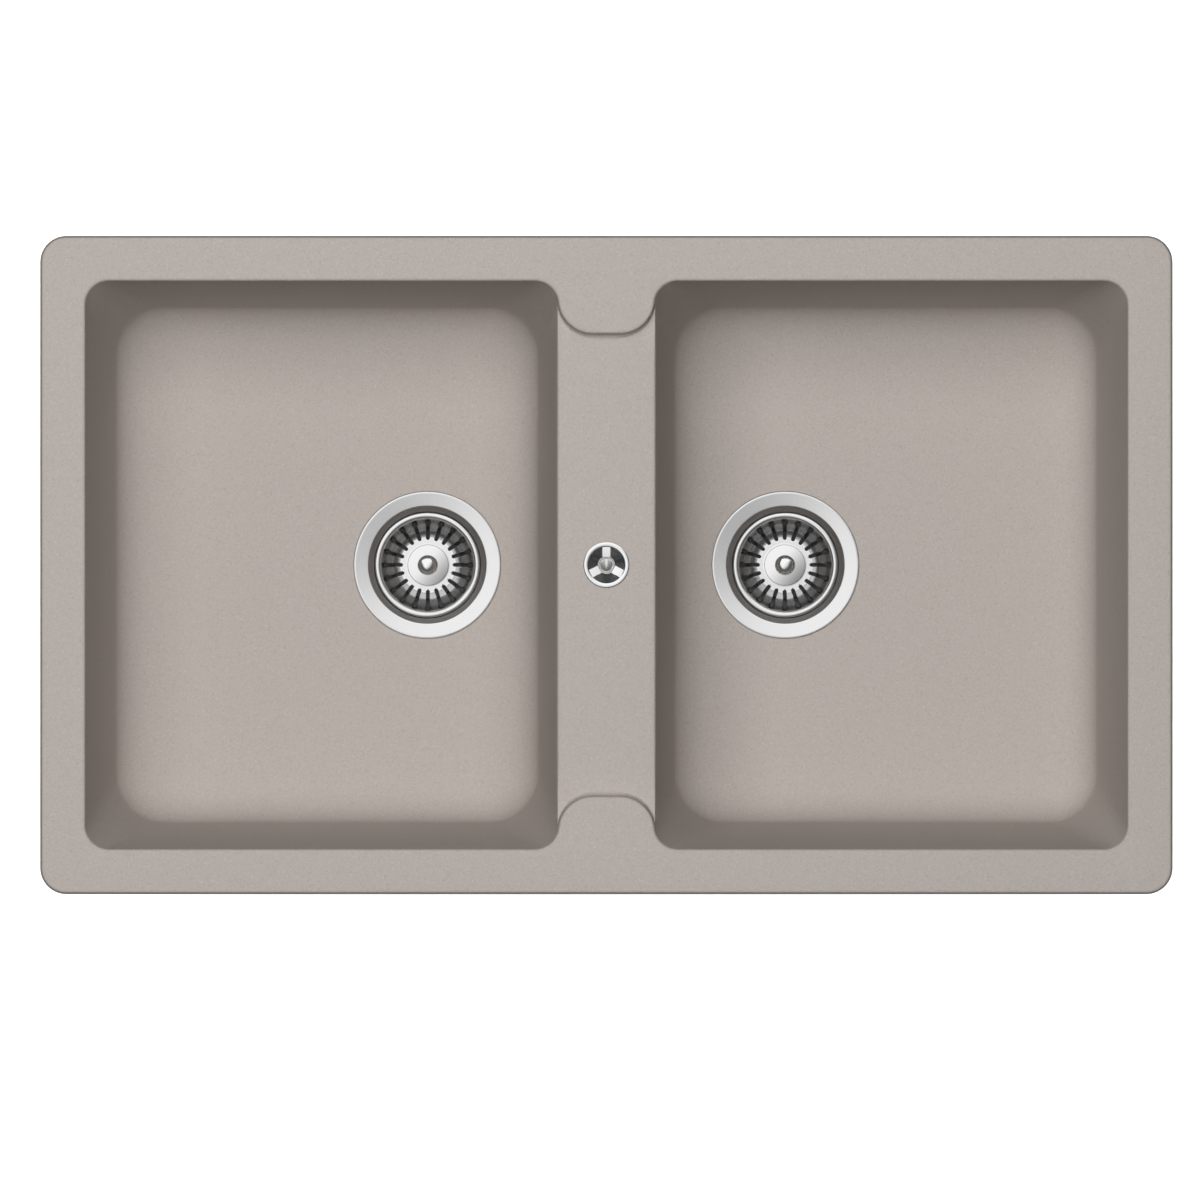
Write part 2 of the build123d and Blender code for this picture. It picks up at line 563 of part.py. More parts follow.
def tangent_point(centre_r, centre_z, radius, r, z):
    """Where a line from (r, z) touches the lower, outer side of a circle in the profile."""
    away = atan2(z - centre_z, r - centre_r)
    swing = acos(radius / sqrt((z - centre_z) ** 2 + (r - centre_r) ** 2))
    return (centre_r + radius * cos(away - swing), centre_z + radius * sin(away - swing))


def strainer_basket():
    """Pressed basket: rolled rim, bowl-shaped wall cut into petals by radial slots, centre disc."""
    top = -BASKET_RIM_DROP
    base = BASKET_BASE
    sheet = BASKET_SHEET
    roll = (BASKET_RIM_R - BASKET_MOUTH_R) / 2
    lip = top - roll
    bend = base + sheet + BASKET_SHOULDER_R
    inside = tangent_point(BASKET_FLOOR_R, bend, BASKET_SHOULDER_R, BASKET_MOUTH_R, lip)
    outside = tangent_point(BASKET_FLOOR_R, bend, BASKET_SHOULDER_R + sheet, BASKET_MOUTH_R + sheet, lip)
    disc_z = base + sheet + CENTRE_DISC_RISE
    hole_r = STEM_R + FIT_GAP
    outline = [
        Line((BASKET_RIM_R, lip), (BASKET_RIM_R - sheet, lip)),
        ThreePointArc((BASKET_RIM_R - sheet, lip), ((BASKET_RIM_R + BASKET_MOUTH_R) / 2, top - sheet),
                      (BASKET_MOUTH_R + sheet, lip)),
        Line((BASKET_MOUTH_R + sheet, lip), outside),
        TangentArc((BASKET_FLOOR_R, base), outside, tangent=(1, 0)),
        Line((BASKET_FLOOR_R, base), (hole_r, base)),
        Line((hole_r, base), (hole_r, disc_z)),
        Line((hole_r, disc_z), (CENTRE_DISC_R - sheet, disc_z)),
        Line((CENTRE_DISC_R - sheet, disc_z), (CENTRE_DISC_R, base + sheet)),
        Line((CENTRE_DISC_R, base + sheet), (BASKET_FLOOR_R, base + sheet)),
        TangentArc((BASKET_FLOOR_R, base + sheet), inside, tangent=(1, 0)),
        Line(inside, (BASKET_MOUTH_R, lip)),
        ThreePointArc((BASKET_MOUTH_R, lip), ((BASKET_RIM_R + BASKET_MOUTH_R) / 2, top), (BASKET_RIM_R, lip)),
    ]
    basket = revolve(Plane.XZ * Face(Wire(outline)), Axis.Z)
    slot = SlotOverall(SLOT_OUTER_R - SLOT_INNER_R, SLOT_WIDTH)
    slot = Pos((SLOT_OUTER_R + SLOT_INNER_R) / 2, 0, base - CUT) * extrude(slot, lip - base)
    return basket - around(SLOTS, slot, 90)


def basket_knob():
    """Turned knob screwed onto the stem, with a waist to pinch it by."""
    neck = (KNOB_NECK_R, KNOB_NECK)
    top = (KNOB_TOP_R, KNOB_HEIGHT)
    ball = ThreePointArc(neck, (KNOB_R, KNOB_HEIGHT - KNOB_BELLY), top)
    rest = Polyline(top, (0, KNOB_HEIGHT), (0, 0), (KNOB_FOOT_R, 0), neck)
    knob = revolve(Plane.XZ * Face(Wire([ball, *rest.edges()])), Axis.Z)
    return Pos(0, 0, KNOB_BASE) * (knob - rod(STEM_THREAD_R + FIT_GAP, -CUT, KNOB_NECK + CUT))


def basket_stem():
    """Stem from the knob, through basket, washer and stopper, into the hollow bolt."""
    bevel = STEM_R / 2
    shaft = turned((0, STEM_END), (STEM_R - bevel, STEM_END), (STEM_R, STEM_END + bevel),
                   (STEM_R, KNOB_BASE), (0, KNOB_BASE))
    return shaft + rod(STEM_THREAD_R, KNOB_BASE, KNOB_NECK - CUT / 2)


def stopper_seal():
    """Rubber stopper under the basket, bevelled below, that closes on the dish's seat."""
    bottom = -DISH_DEPTH + RUN_GAP
    return turned(
        (STEM_R + FIT_GAP, bottom), (STOPPER_R - STOPPER_BEVEL, bottom), (STOPPER_R, bottom + STOPPER_BEVEL),
        (STOPPER_R, bottom + STOPPER), (STEM_R + FIT_GAP, bottom + STOPPER))


def seal_washer():
    """Steel washer between the stopper and the basket."""
    return ring(WASHER_R, STEM_R + FIT_GAP, BASKET_BASE - WASHER, WASHER)


def pipe_nut():
    """Ribbed union nut about Z: thread end up, lip below, the spigot's end at z = 0."""
    bore_r = SPIGOT_R + FIT_GAP
    lip_r = PIPE_R + FIT_GAP
    bevel = PIPE_NUT_BEVEL
    low = -PIPE_SEAL - PIPE_NUT_LIP
    top = PIPE_NUT_LENGTH + low
    nut = turned(
        (bore_r, top), (PIPE_NUT_R - bevel / 2, top), (PIPE_NUT_R, top - bevel), (PIPE_NUT_R, low + bevel),
        (PIPE_NUT_R - bevel, low), (lip_r, low), (lip_r, -PIPE_SEAL), (bore_r, -PIPE_SEAL))
    rib = extrude(Rectangle(PIPE_NUT_RIB, PIPE_NUT_RIB), PIPE_NUT_LENGTH - 3 * bevel)
    return nut + around(PIPE_NUT_RIBS, Pos(PIPE_NUT_R, 0, low + 1.5 * bevel) * rib)


def pipe_seal():
    """Tapered rubber ring squeezed between a spigot's end, the nut's lip and the pipe."""
    wide = SPIGOT_R - 2 * FIT_GAP
    return turned((PIPE_R, -PIPE_SEAL), (wide, -PIPE_SEAL), (wide, -PIPE_SEAL / 2),
                  (SPIGOT_R - PIPE_SEAL_TAPER, 0), (PIPE_R, 0))


def outlet_elbow():
    """Bent pipe from the right waste's spigot to the tee."""
    top = FLOOR_Z + SPIGOT_END + PIPE_INSERT
    end_x = TEE_HALF_LENGTH - PIPE_INSERT
    path = FilletPolyline((WASTE_X, 0, top), (WASTE_X, 0, PIPE_Z), (end_x, 0, PIPE_Z), radius=PIPE_BEND_R)
    section = Pos(WASTE_X, 0, top) * (Circle(PIPE_R) - Circle(PIPE_R - PIPE_WALL))
    return sweep(section, path=path)


def outlet_tee():
    """Swept tee that joins both bowls, with two threaded sockets and a plain outlet below."""
    bore_r = PIPE_R - PIPE_WALL
    axis = Pos(0, 0, PIPE_Z) * Rot(0, 90, 0)
    drop_end = PIPE_Z - TEE_COLLAR - TEE_SPIGOT
    tee = axis * rod(SPIGOT_R, -TEE_HALF_LENGTH, 2 * TEE_HALF_LENGTH)
    tee += rod(TEE_COLLAR_R, PIPE_Z - TEE_COLLAR, TEE_COLLAR)
    tee += rod(PIPE_R, drop_end, TEE_SPIGOT + CUT)
    cuts = [rod(bore_r, drop_end - CUT, PIPE_Z - drop_end + CUT)]
    cuts.append(axis * rod(bore_r, -TEE_HALF_LENGTH - CUT, 2 * TEE_HALF_LENGTH + 2 * CUT))
    for start in (-TEE_HALF_LENGTH - CUT, TEE_HALF_LENGTH - PIPE_INSERT):
        cuts.append(axis * rod(PIPE_R + FIT_GAP, start, PIPE_INSERT + CUT))
    return tee - cuts


def overflow_rose():
    """Turned ring with a skirt, three flat spokes, and a cup for the screw head in their middle."""
    skirt_r = ROSE_INNER_R - ROSE_WALL
    skirt_end = ROSE_TOP - ROSE_SKIRT
    plate = ROSE_TOP - ROSE_PLATE
    rose = turned(
        (skirt_r, skirt_end), (ROSE_INNER_R, skirt_end), (ROSE_INNER_R, plate), (ROSE_R, plate),
        (ROSE_R, ROSE_TOP - ROSE_BEVEL), (ROSE_R - ROSE_BEVEL, ROSE_TOP), (ROSE_INNER_R, ROSE_TOP),
        (skirt_r, ROSE_TOP - ROSE_WALL))
    spoke_top = ROSE_TOP - ROSE_SPOKE_DROP
    spoke_length = ROSE_INNER_R - ROSE_WALL / 2
    spoke = extrude(Rectangle(spoke_length, ROSE_SPOKE), ROSE_PLATE)
    rose += around(ROSE_SPOKES, Pos(spoke_length / 2, 0, spoke_top - ROSE_PLATE) * spoke, 90)
    rose += rod(ROSE_HUB_R, ROSE_HUB_Z - ROSE_PLATE, spoke_top - ROSE_HUB_Z + ROSE_PLATE)
    rose -= rod(ROSE_HUB_R - ROSE_WALL, ROSE_HUB_Z, ROSE_HUB_DROP)
    return rose - rod(ROSE_SCREW_R + FIT_GAP, ROSE_HUB_Z - ROSE_PLATE - CUT, ROSE_PLATE + 2 * CUT)


def overflow_screw():
    """Slotted screw with a domed head in the rose's cup, drawing it down to the overflow body."""
    end = OVERFLOW_WEB_Z + CUT
    crown_r = (ROSE_SCREW_HEAD_R ** 2 + ROSE_SCREW_CROWN ** 2) / (2 * ROSE_SCREW_CROWN)
    top = ROSE_HUB_Z + ROSE_SCREW_HEAD
    head = rod(ROSE_SCREW_HEAD_R, ROSE_HUB_Z, ROSE_SCREW_HEAD) & Pos(0, 0, top - crown_r) * Sphere(crown_r)
    slot = extrude(Rectangle(ROSE_SCREW_SLOT, 2 * ROSE_SCREW_HEAD_R), ROSE_SCREW_HEAD)
    head -= Pos(0, 0, ROSE_HUB_Z + ROSE_SCREW_HEAD / 2) * slot
    return head + rod(ROSE_SCREW_R, end, ROSE_HUB_Z - end)


def overflow_gasket():
    """Thin ring between the rose and the divider."""
    return ring(ROSE_R - FIT_GAP, ROSE_INNER_R + 2 * FIT_GAP, DIVIDER_Z - ROSE_RECESS, OVERFLOW_GASKET)


def overflow_body_gasket():
    """Rubber ring between the divider's underside and the overflow body."""
    return ring(OVERFLOW_FLANGE_R, ROSE_INNER_R + LOOSE_GAP, OVERFLOW_BODY_Z, OVERFLOW_BODY_GASKET)


def overflow_body():
    """Moulded cup under the divider, with a central screw boss on webs and a hose barb below."""
    cup_r = ROSE_INNER_R + FIT_GAP
    wall_r = cup_r + OVERFLOW_WALL
    root_r = cup_r + OVERFLOW_WALL / 2
    bore_r = BARB_R - BARB_WALL
    under = OVERFLOW_BODY_Z - OVERFLOW_FLANGE
    barb_end = BARB_TOP - BARB_LENGTH
    cup = turned(
        (cup_r, OVERFLOW_BODY_Z), (OVERFLOW_FLANGE_R, OVERFLOW_BODY_Z), (OVERFLOW_FLANGE_R, under),
        (wall_r, under), (wall_r, OVERFLOW_CUP_Z - CUT), (BARB_R + BARB_SHOULDER, BARB_TOP),
        (BARB_R, BARB_TOP), (BARB_R, barb_end), (bore_r, barb_end), (bore_r, BARB_TOP),
        (cup_r, OVERFLOW_CUP_Z))
    webs = Circle(ROSE_SCREW_R + OVERFLOW_WEB)
    for arm in around(OVERFLOW_WEBS, Pos(root_r / 2, 0) * Rectangle(root_r, OVERFLOW_WEB), 30):
        webs += arm
    cup += Pos(0, 0, OVERFLOW_WEB_Z) * extrude(webs & Circle(root_r), OVERFLOW_WEB_HEIGHT)
    return cup - rod(ROSE_SCREW_R + FIT_GAP / 2, OVERFLOW_WEB_Z - CUT, OVERFLOW_WEB_HEIGHT + 2 * CUT)


def hose_station(run):
    """Plane across the hose's centre line at a length along it, its X axis steady along Y."""
    corner_z = INLET_Z + HOSE_BEND_R
    drop = BARB_TOP - corner_z
    turn = HOSE_BEND_R * radians(90)
    if run <= drop:
        return Plane(origin=(0, 0, BARB_TOP - run), x_dir=(0, 1, 0), z_dir=(0, 0, -1))
    if run <= drop + turn:
        angle = (run - drop) / HOSE_BEND_R
        origin = (-HOSE_BEND_R * (1 - cos(angle)), 0, corner_z - HOSE_BEND_R * sin(angle))
        return Plane(origin=origin, x_dir=(0, 1, 0), z_dir=(-sin(angle), 0, -cos(angle)))
    origin = (-HOSE_BEND_R - (run - drop - turn), 0, INLET_Z)
    return Plane(origin=origin, x_dir=(0, 1, 0), z_dir=(-1, 0, 0))


def hose_length():
    """Length of the hose's centre line, from the overflow body to the left waste's inlet."""
    drop = BARB_TOP - INLET_Z - HOSE_BEND_R
    return drop + HOSE_BEND_R * radians(90) + (-HOSE_BEND_R - INLET_SHOULDER_X)


def overflow_hose():
    """Ribbed hose with plain cuffs: ribs are rings of a ruled skin, four circles to each."""
    bore_r = BARB_R + FIT_GAP
    valley = bore_r + HOSE_WALL
    crest = valley + HOSE_RIB
    length = hose_length()
    cuff = HOSE_CUFF
    ribs = int((length - 2 * cuff) / HOSE_RIB_PITCH)
    pitch = (length - 2 * cuff) / ribs
    skin = [(0, valley), (cuff, valley)]
    for i in range(ribs):
        start = cuff + i * pitch
        skin += [(start + pitch * 0.2, valley), (start + pitch * 0.35, crest),
                 (start + pitch * 0.65, crest), (start + pitch * 0.8, valley)]
    skin += [(length - cuff, valley), (length, valley)]
    outside = loft([hose_station(run) * Circle(radius) for run, radius in skin], ruled=True)
    drop = BARB_TOP - INLET_Z - HOSE_BEND_R
    bend_end = drop + HOSE_BEND_R * radians(90)
    steps = HOSE_BEND_STEPS
    bend = [drop + (bend_end - drop) * i / steps for i in range(steps + 1)]
    stations = [-CUT] + bend + [length + CUT]
    inside = loft([hose_station(run) * Circle(bore_r) for run in stations], ruled=True)
    return outside - inside


def hose_clip(run):
    """Steel band with a screw lug, round a cuff of the hose."""
    inner = BARB_R + FIT_GAP + HOSE_WALL + FIT_GAP / 2
    outer = inner + HOSE_CLIP_STEEL
    band = ring(outer, inner, -HOSE_CLIP_WIDTH / 2, HOSE_CLIP_WIDTH)
    lug_x = outer + HOSE_LUG_DEPTH / 2 - CUT
    lug = Pos(lug_x, 0, 0) * Box(HOSE_LUG_DEPTH, HOSE_LUG_WIDTH, HOSE_CLIP_WIDTH - CUT)
    lug -= rod(inner + HOSE_CLIP_STEEL / 2, -HOSE_CLIP_WIDTH, 2 * HOSE_CLIP_WIDTH)
    screw = Pos(lug_x + CUT / 2, 0, 0) * Rot(-90, 0, 0) * rod(HOSE_SCREW_R, 0, HOSE_SCREW_LENGTH)
    return hose_station(run).location * (band + lug + screw)


def write(name, piece):
    """Write one node, as a group of solids where it holds several."""
    if isinstance(piece, (list, tuple)):
        piece = Compound(children=[solid for item in piece for solid in item.solids()])
    export_step(piece, f"parts/{name}.step")


os.makedirs("parts", exist_ok=True)

write("sink_body", sink_body())
write("worktop_seal", worktop_seal())

clip = worktop_clip()
for number, (x, y, outward) in enumerate(clip_places(), start=1):
    write(f"clip_{number}", Pos(x, y, 0) * Rot(0, 0, outward - 90) * clip)
write("clip_screws", [Pos(x, y, 0) * clip_screw() for x, y, _ in clip_places()])
write("clip_dowels", [Pos(x, y, 0) * clip_dowel() for x, y, _ in clip_places()])

flange_gasket = ring(FLANGE_R - 2 * CUT, DRAIN_HOLE_R + LOOSE_GAP, -FLANGE_RECESS, FLANGE_GASKET)
body_gasket = ring(BODY_FLANGE_R, DRAIN_HOLE_R + CUT, BODY_TOP, BODY_GASKET)
elbow = outlet_elbow()
for side, x in (("left", -WASTE_X), ("right", WASTE_X)):
    waste = Pos(x, 0, FLOOR_Z)
    write(f"flange_gasket_{side}", waste * flange_gasket)
    write(f"waste_flange_{side}", waste * waste_flange())
    write(f"body_gasket_{side}", waste * body_gasket)
    write(f"waste_body_{side}", waste * waste_body(has_inlet=side == "left"))
    write(f"centre_bolt_{side}", waste * centre_bolt())
    write(f"centre_nut_{side}", waste * centre_nut())
    write(f"strainer_basket_{side}", waste * strainer_basket())
    write(f"basket_knob_{side}", waste * basket_knob())
    write(f"basket_stem_{side}", waste * basket_stem())
    write(f"stopper_seal_{side}", waste * stopper_seal())
    write(f"seal_washer_{side}", waste * seal_washer())
    spigot_end = waste * Pos(0, 0, SPIGOT_END)
    write(f"waste_nut_{side}", spigot_end * pipe_nut())
    write(f"waste_nut_seal_{side}", spigot_end * pipe_seal())
    write(f"outlet_elbow_{side}", elbow if x > 0 else mirror(elbow, Plane.YZ))
    turn = 1 if x > 0 else -1
    tee_end = Pos(turn * TEE_HALF_LENGTH, 0, PIPE_Z) * Rot(0, -90 * turn, 0)
    write(f"tee_nut_{side}", tee_end * pipe_nut())
    write(f"tee_seal_{side}", tee_end * pipe_seal())

write("outlet_tee", outlet_tee())
write("overflow_rose", overflow_rose())
write("overflow_screw", overflow_screw())
write("overflow_gasket", overflow_gasket())
write("overflow_body_gasket", overflow_body_gasket())
write("overflow_body", overflow_body())
write("overflow_hose", overflow_hose())
write("hose_clip_top", hose_clip(HOSE_CUFF / 2))
write("hose_clip_bottom", hose_clip(hose_length() - HOSE_CUFF / 2))
print("hose length", round(hose_length(), 1), "mm, bend radius", HOSE_BEND_R, "mm")
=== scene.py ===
import json
import math

import bmesh
import bpy
import numpy as np
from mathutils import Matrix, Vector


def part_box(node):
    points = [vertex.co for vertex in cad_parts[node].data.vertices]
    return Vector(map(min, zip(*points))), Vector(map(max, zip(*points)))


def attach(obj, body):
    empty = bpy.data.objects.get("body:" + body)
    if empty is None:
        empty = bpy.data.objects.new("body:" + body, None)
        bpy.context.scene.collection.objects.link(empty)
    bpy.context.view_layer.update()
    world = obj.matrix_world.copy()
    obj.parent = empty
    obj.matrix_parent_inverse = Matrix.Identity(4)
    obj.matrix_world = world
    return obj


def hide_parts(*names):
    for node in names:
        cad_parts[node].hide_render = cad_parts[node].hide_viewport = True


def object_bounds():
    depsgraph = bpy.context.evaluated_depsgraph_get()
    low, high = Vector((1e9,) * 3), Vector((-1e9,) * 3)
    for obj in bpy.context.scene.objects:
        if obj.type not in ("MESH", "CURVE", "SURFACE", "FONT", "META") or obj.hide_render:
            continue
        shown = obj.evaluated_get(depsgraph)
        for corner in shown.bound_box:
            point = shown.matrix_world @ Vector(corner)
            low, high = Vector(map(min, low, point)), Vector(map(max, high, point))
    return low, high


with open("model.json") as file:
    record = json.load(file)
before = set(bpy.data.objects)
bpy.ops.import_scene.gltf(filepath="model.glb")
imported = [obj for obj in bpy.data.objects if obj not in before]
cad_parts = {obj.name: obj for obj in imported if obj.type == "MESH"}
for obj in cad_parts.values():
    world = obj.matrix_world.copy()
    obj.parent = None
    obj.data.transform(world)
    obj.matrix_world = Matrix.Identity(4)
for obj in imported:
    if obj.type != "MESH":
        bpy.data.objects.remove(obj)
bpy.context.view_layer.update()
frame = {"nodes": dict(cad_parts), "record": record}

# ---- camera --------------------------------------------------------------------------------
# The photograph is taken from far above, straight down on the middle of the sink. The picture is
# 1200 pixels wide and 0.9109 m across at the rim, and the sink sits a little above its middle.

PICTURE = 1200
PICTURE_WIDTH = 0.9109
CAMERA_RISE = 8.5
SINK_MIDDLE_X = 606.4
SINK_MIDDLE_Y = 565.0

rim_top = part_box("sink_body")[1].z
lens = bpy.data.cameras.new("camera")
lens.sensor_width = 36
lens.lens = lens.sensor_width * CAMERA_RISE / PICTURE_WIDTH
lens.shift_x = (PICTURE / 2 - SINK_MIDDLE_X) / PICTURE
lens.shift_y = (SINK_MIDDLE_Y - PICTURE / 2) / PICTURE
lens.clip_end = 100
camera = bpy.data.objects.new("camera", lens)
camera.location = (0, 0, rim_top + CAMERA_RISE)
bpy.context.scene.collection.objects.link(camera)
bpy.context.scene.camera = camera
bpy.context.scene.view_settings.view_transform = "Standard"

# ---- studio --------------------------------------------------------------------------------
# One broad soft lamp hangs high above, a little to the left and behind. Metal mirrors a pale panel
# with dark flags at the sides and in front. Floor and surroundings are white paper, clear from
# below, and four low strips shine on the floor, which throws their light up at the sink's sides.

LAMP_LEFT = 0.30
LAMP_BACK = 0.43
LAMP_HEIGHT = 3.2
LAMP_WIDTH = 2.9
LAMP_POWER = 125.0
FILL = 0.01
PANEL_MIDDLE = 0.75
PANEL_SLANT = 3.0
PANEL_BRIGHTEST = 0.86
PANEL_EDGE = (-0.55, -0.22)
PANEL_TOWARDS = (-0.75, 0.66, 0)
PANEL_WIDER_BEHIND = 0.8
FLAG = 0.10
FLOOR_SIZE = 12.0
FLOOR_GLOW = 0.5
GLOW_RISE = 0.15
STRIP_HEIGHT = -0.08
STRIP_POWER = 5.0
STRIPS = ((0, -0.85, 2.4, 0.7), (0, 0.85, 2.4, 0.7), (-1.05, 0, 0.7, 1.0), (1.05, 0, 0.7, 1.0))


def linear(code):
    """The linear colour of an sRGB hex code: ((c + 0.055) / 1.055) to the power 2.4."""
    parts = [int(code[i:i + 2], 16) / 255 for i in (1, 3, 5)]
    return [c / 12.92 if c <= 0.04045 else ((c + 0.055) / 1.055) ** 2.4 for c in parts] + [1]


def add(tree, kind, settings=None, **inputs):
    """Add a node with its settings, and give each input a value or a link by its name or number.

    A node given as an input stands for its first output.
    """
    made = tree.nodes.new(kind)
    for name, value in (settings or {}).items():
        setattr(made, name, value)
    for name, value in inputs.items():
        number = name[1:]
        socket = made.inputs[int(number) if number.isdigit() else name.replace("_", " ")]
        if isinstance(value, bpy.types.Node):
            value = value.outputs[0]
        if isinstance(value, bpy.types.NodeSocket):
            tree.links.new(value, socket)
        else:
            socket.default_value = value
    return made


def hang_lamp(name, shape, place, width, depth, power):
    """Hang a lamp that shines straight down, and that neither the camera nor metal sees."""
    lamp = bpy.data.lights.new(name, "AREA")
    lamp.shape = shape
    lamp.size = width
    lamp.size_y = depth
    lamp.energy = power
    hung = bpy.data.objects.new(name, lamp)
    hung.location = place
    hung.visible_camera = False
    hung.visible_glossy = False
    bpy.context.scene.collection.objects.link(hung)


hang_lamp("softbox", "DISK", (-LAMP_LEFT, LAMP_BACK, LAMP_HEIGHT), LAMP_WIDTH, LAMP_WIDTH,
          LAMP_POWER)
for number, (x, y, width, depth) in enumerate(STRIPS, start=1):
    hang_lamp(f"strip_{number}", "RECTANGLE", (x, y, STRIP_HEIGHT), width, depth, STRIP_POWER)

world = bpy.data.worlds.new("studio")
bpy.context.scene.world = world
world.use_nodes = True
world.cycles.sampling_method = "NONE"
sky = world.node_tree
sky.nodes.clear()
path = add(sky, "ShaderNodeLightPath")
way = add(sky, "ShaderNodeTexCoord")
split = add(sky, "ShaderNodeSeparateXYZ", Vector=way.outputs["Generated"])
slant = add(sky, "ShaderNodeVectorMath", {"operation": "DOT_PRODUCT"}, _0=way.outputs["Generated"],
            _1=PANEL_TOWARDS)
panel = add(sky, "ShaderNodeMath", {"operation": "MULTIPLY_ADD", "use_clamp": True},
            _0=slant.outputs["Value"], _1=PANEL_SLANT, _2=PANEL_MIDDLE)
panel = add(sky, "ShaderNodeMath", {"operation": "MINIMUM"}, _0=panel, _1=PANEL_BRIGHTEST)
aside = add(sky, "ShaderNodeMath", {"operation": "ABSOLUTE"}, _0=split.outputs["X"])
behind = add(sky, "ShaderNodeMath", {"operation": "MULTIPLY"}, _0=split.outputs["Y"],
             _1=PANEL_WIDER_BEHIND)
reach = add(sky, "ShaderNodeMath", {"operation": "SUBTRACT"}, _0=behind, _1=aside)
edge = add(sky, "ShaderNodeMapRange", {"interpolation_type": "SMOOTHSTEP"}, _0=reach,
           _1=PANEL_EDGE[0], _2=PANEL_EDGE[1])
lit = add(sky, "ShaderNodeMath", {"operation": "MULTIPLY_ADD"}, _0=panel, _1=edge, _2=FLAG)
under = add(sky, "ShaderNodeMath", {"operation": "LESS_THAN"}, _0=split.outputs["Z"], _1=0.0)
mirrored = add(sky, "ShaderNodeMath", {"operation": "MAXIMUM"}, _0=lit, _1=under)
more = add(sky, "ShaderNodeMath", {"operation": "SUBTRACT"}, _0=mirrored, _1=FILL)
level = add(sky, "ShaderNodeMath", {"operation": "MULTIPLY_ADD"}, _0=path.outputs["Is Glossy Ray"],
            _1=more, _2=FILL)
seen = add(sky, "ShaderNodeMath", {"operation": "MAXIMUM"}, _0=path.outputs["Is Camera Ray"],
           _1=path.outputs["Is Transmission Ray"])
level = add(sky, "ShaderNodeMath", {"operation": "MAXIMUM"}, _0=level, _1=seen)
paper = add(sky, "ShaderNodeBackground", Color=(1, 1, 1, 1), Strength=level)
add(sky, "ShaderNodeOutputWorld", Surface=paper)

corners = np.array([(-1, -1, 0), (1, -1, 0), (1, 1, 0), (-1, 1, 0)], float) * FLOOR_SIZE / 2
floor_mesh = bpy.data.meshes.new("floor")
floor_mesh.from_pydata((corners + (0, 0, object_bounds()[0].z)).tolist(), [], [(0, 1, 2, 3)])
floor = bpy.data.objects.new("floor", floor_mesh)
bpy.context.scene.collection.objects.link(floor)

matt_paper = bpy.data.materials.new("floor_paper")
matt_paper.use_nodes = True
tree = matt_paper.node_tree
tree.nodes.clear()
path = add(tree, "ShaderNodeLightPath")
matt = add(tree, "ShaderNodeBsdfDiffuse", Color=linear("#F4F4F4"))
place = add(tree, "ShaderNodeTexCoord")
far = add(tree, "ShaderNodeVectorMath", {"operation": "LENGTH"}, _0=place.outputs["Object"])
rise = add(tree, "ShaderNodeMath", {"operation": "MULTIPLY_ADD", "use_clamp": True},
           _0=far.outputs["Value"], _1=GLOW_RISE, _2=FLOOR_GLOW)
glow = add(tree, "ShaderNodeEmission", Color=(1, 1, 1, 1), Strength=rise)
bright = add(tree, "ShaderNodeAddShader", _0=matt, _1=glow)
seen = add(tree, "ShaderNodeMath", {"operation": "MAXIMUM"}, _0=path.outputs["Is Camera Ray"],
           _1=path.outputs["Is Transmission Ray"])
shown = add(tree, "ShaderNodeMixShader", _0=seen, _1=matt, _2=bright)
face = add(tree, "ShaderNodeNewGeometry")
clear = add(tree, "ShaderNodeBsdfTransparent")
sided = add(tree, "ShaderNodeMixShader", _0=face.outputs["Backfacing"], _1=shown, _2=clear)
add(tree, "ShaderNodeOutputMaterial", Surface=sided)
floor_mesh.materials.append(matt_paper)

# ---- sink body -----------------------------------------------------------------------------
# One casting of quartz sand in acrylic resin, with both bowls, the rim and the lowered divider.
# The face side comes satin out of a polished mould. The back of the casting is coarser and duller.

BOWL_MIDDLE = 0.224
QUARTZ_GRAIN = 0.0010
PALE_ABOVE = 0.96
DARK_BELOW = 0.05
FINE_SAND = 0.0004
CLOUD = 0.035
CORNER_R = 0.020
# Width of the painted shade line along the rim's outer edge.
PAINTED_SHADE_EDGE = 0.0016
BACK_TOP = -0.0005
BACK_TURN = 0.02
BACK_DOWN = -0.4
SHARP_ANGLE = 28.0
COLOURS = {"data_type": "RGBA"}


def finish(name):
    """An empty material for a real finish, and its node tree."""
    material = bpy.data.materials.new(name)
    material.use_nodes = True
    material.node_tree.nodes.clear()
    return material, material.node_tree


def dress(names, material):
    """Give carried-over nodes their finish, welded and split at sharp edges to shade smoothly."""
    for name in names:
        piece = frame["nodes"][name]
        piece.data.materials.clear()
        piece.data.materials.append(material)
        piece.data.polygons.foreach_set("use_smooth", [True] * len(piece.data.polygons))
        weld = piece.modifiers.new("weld", "WELD")
        weld.merge_threshold = 1e-6
        split = piece.modifiers.new("split", "EDGE_SPLIT")
        split.split_angle = math.radians(SHARP_ANGLE)


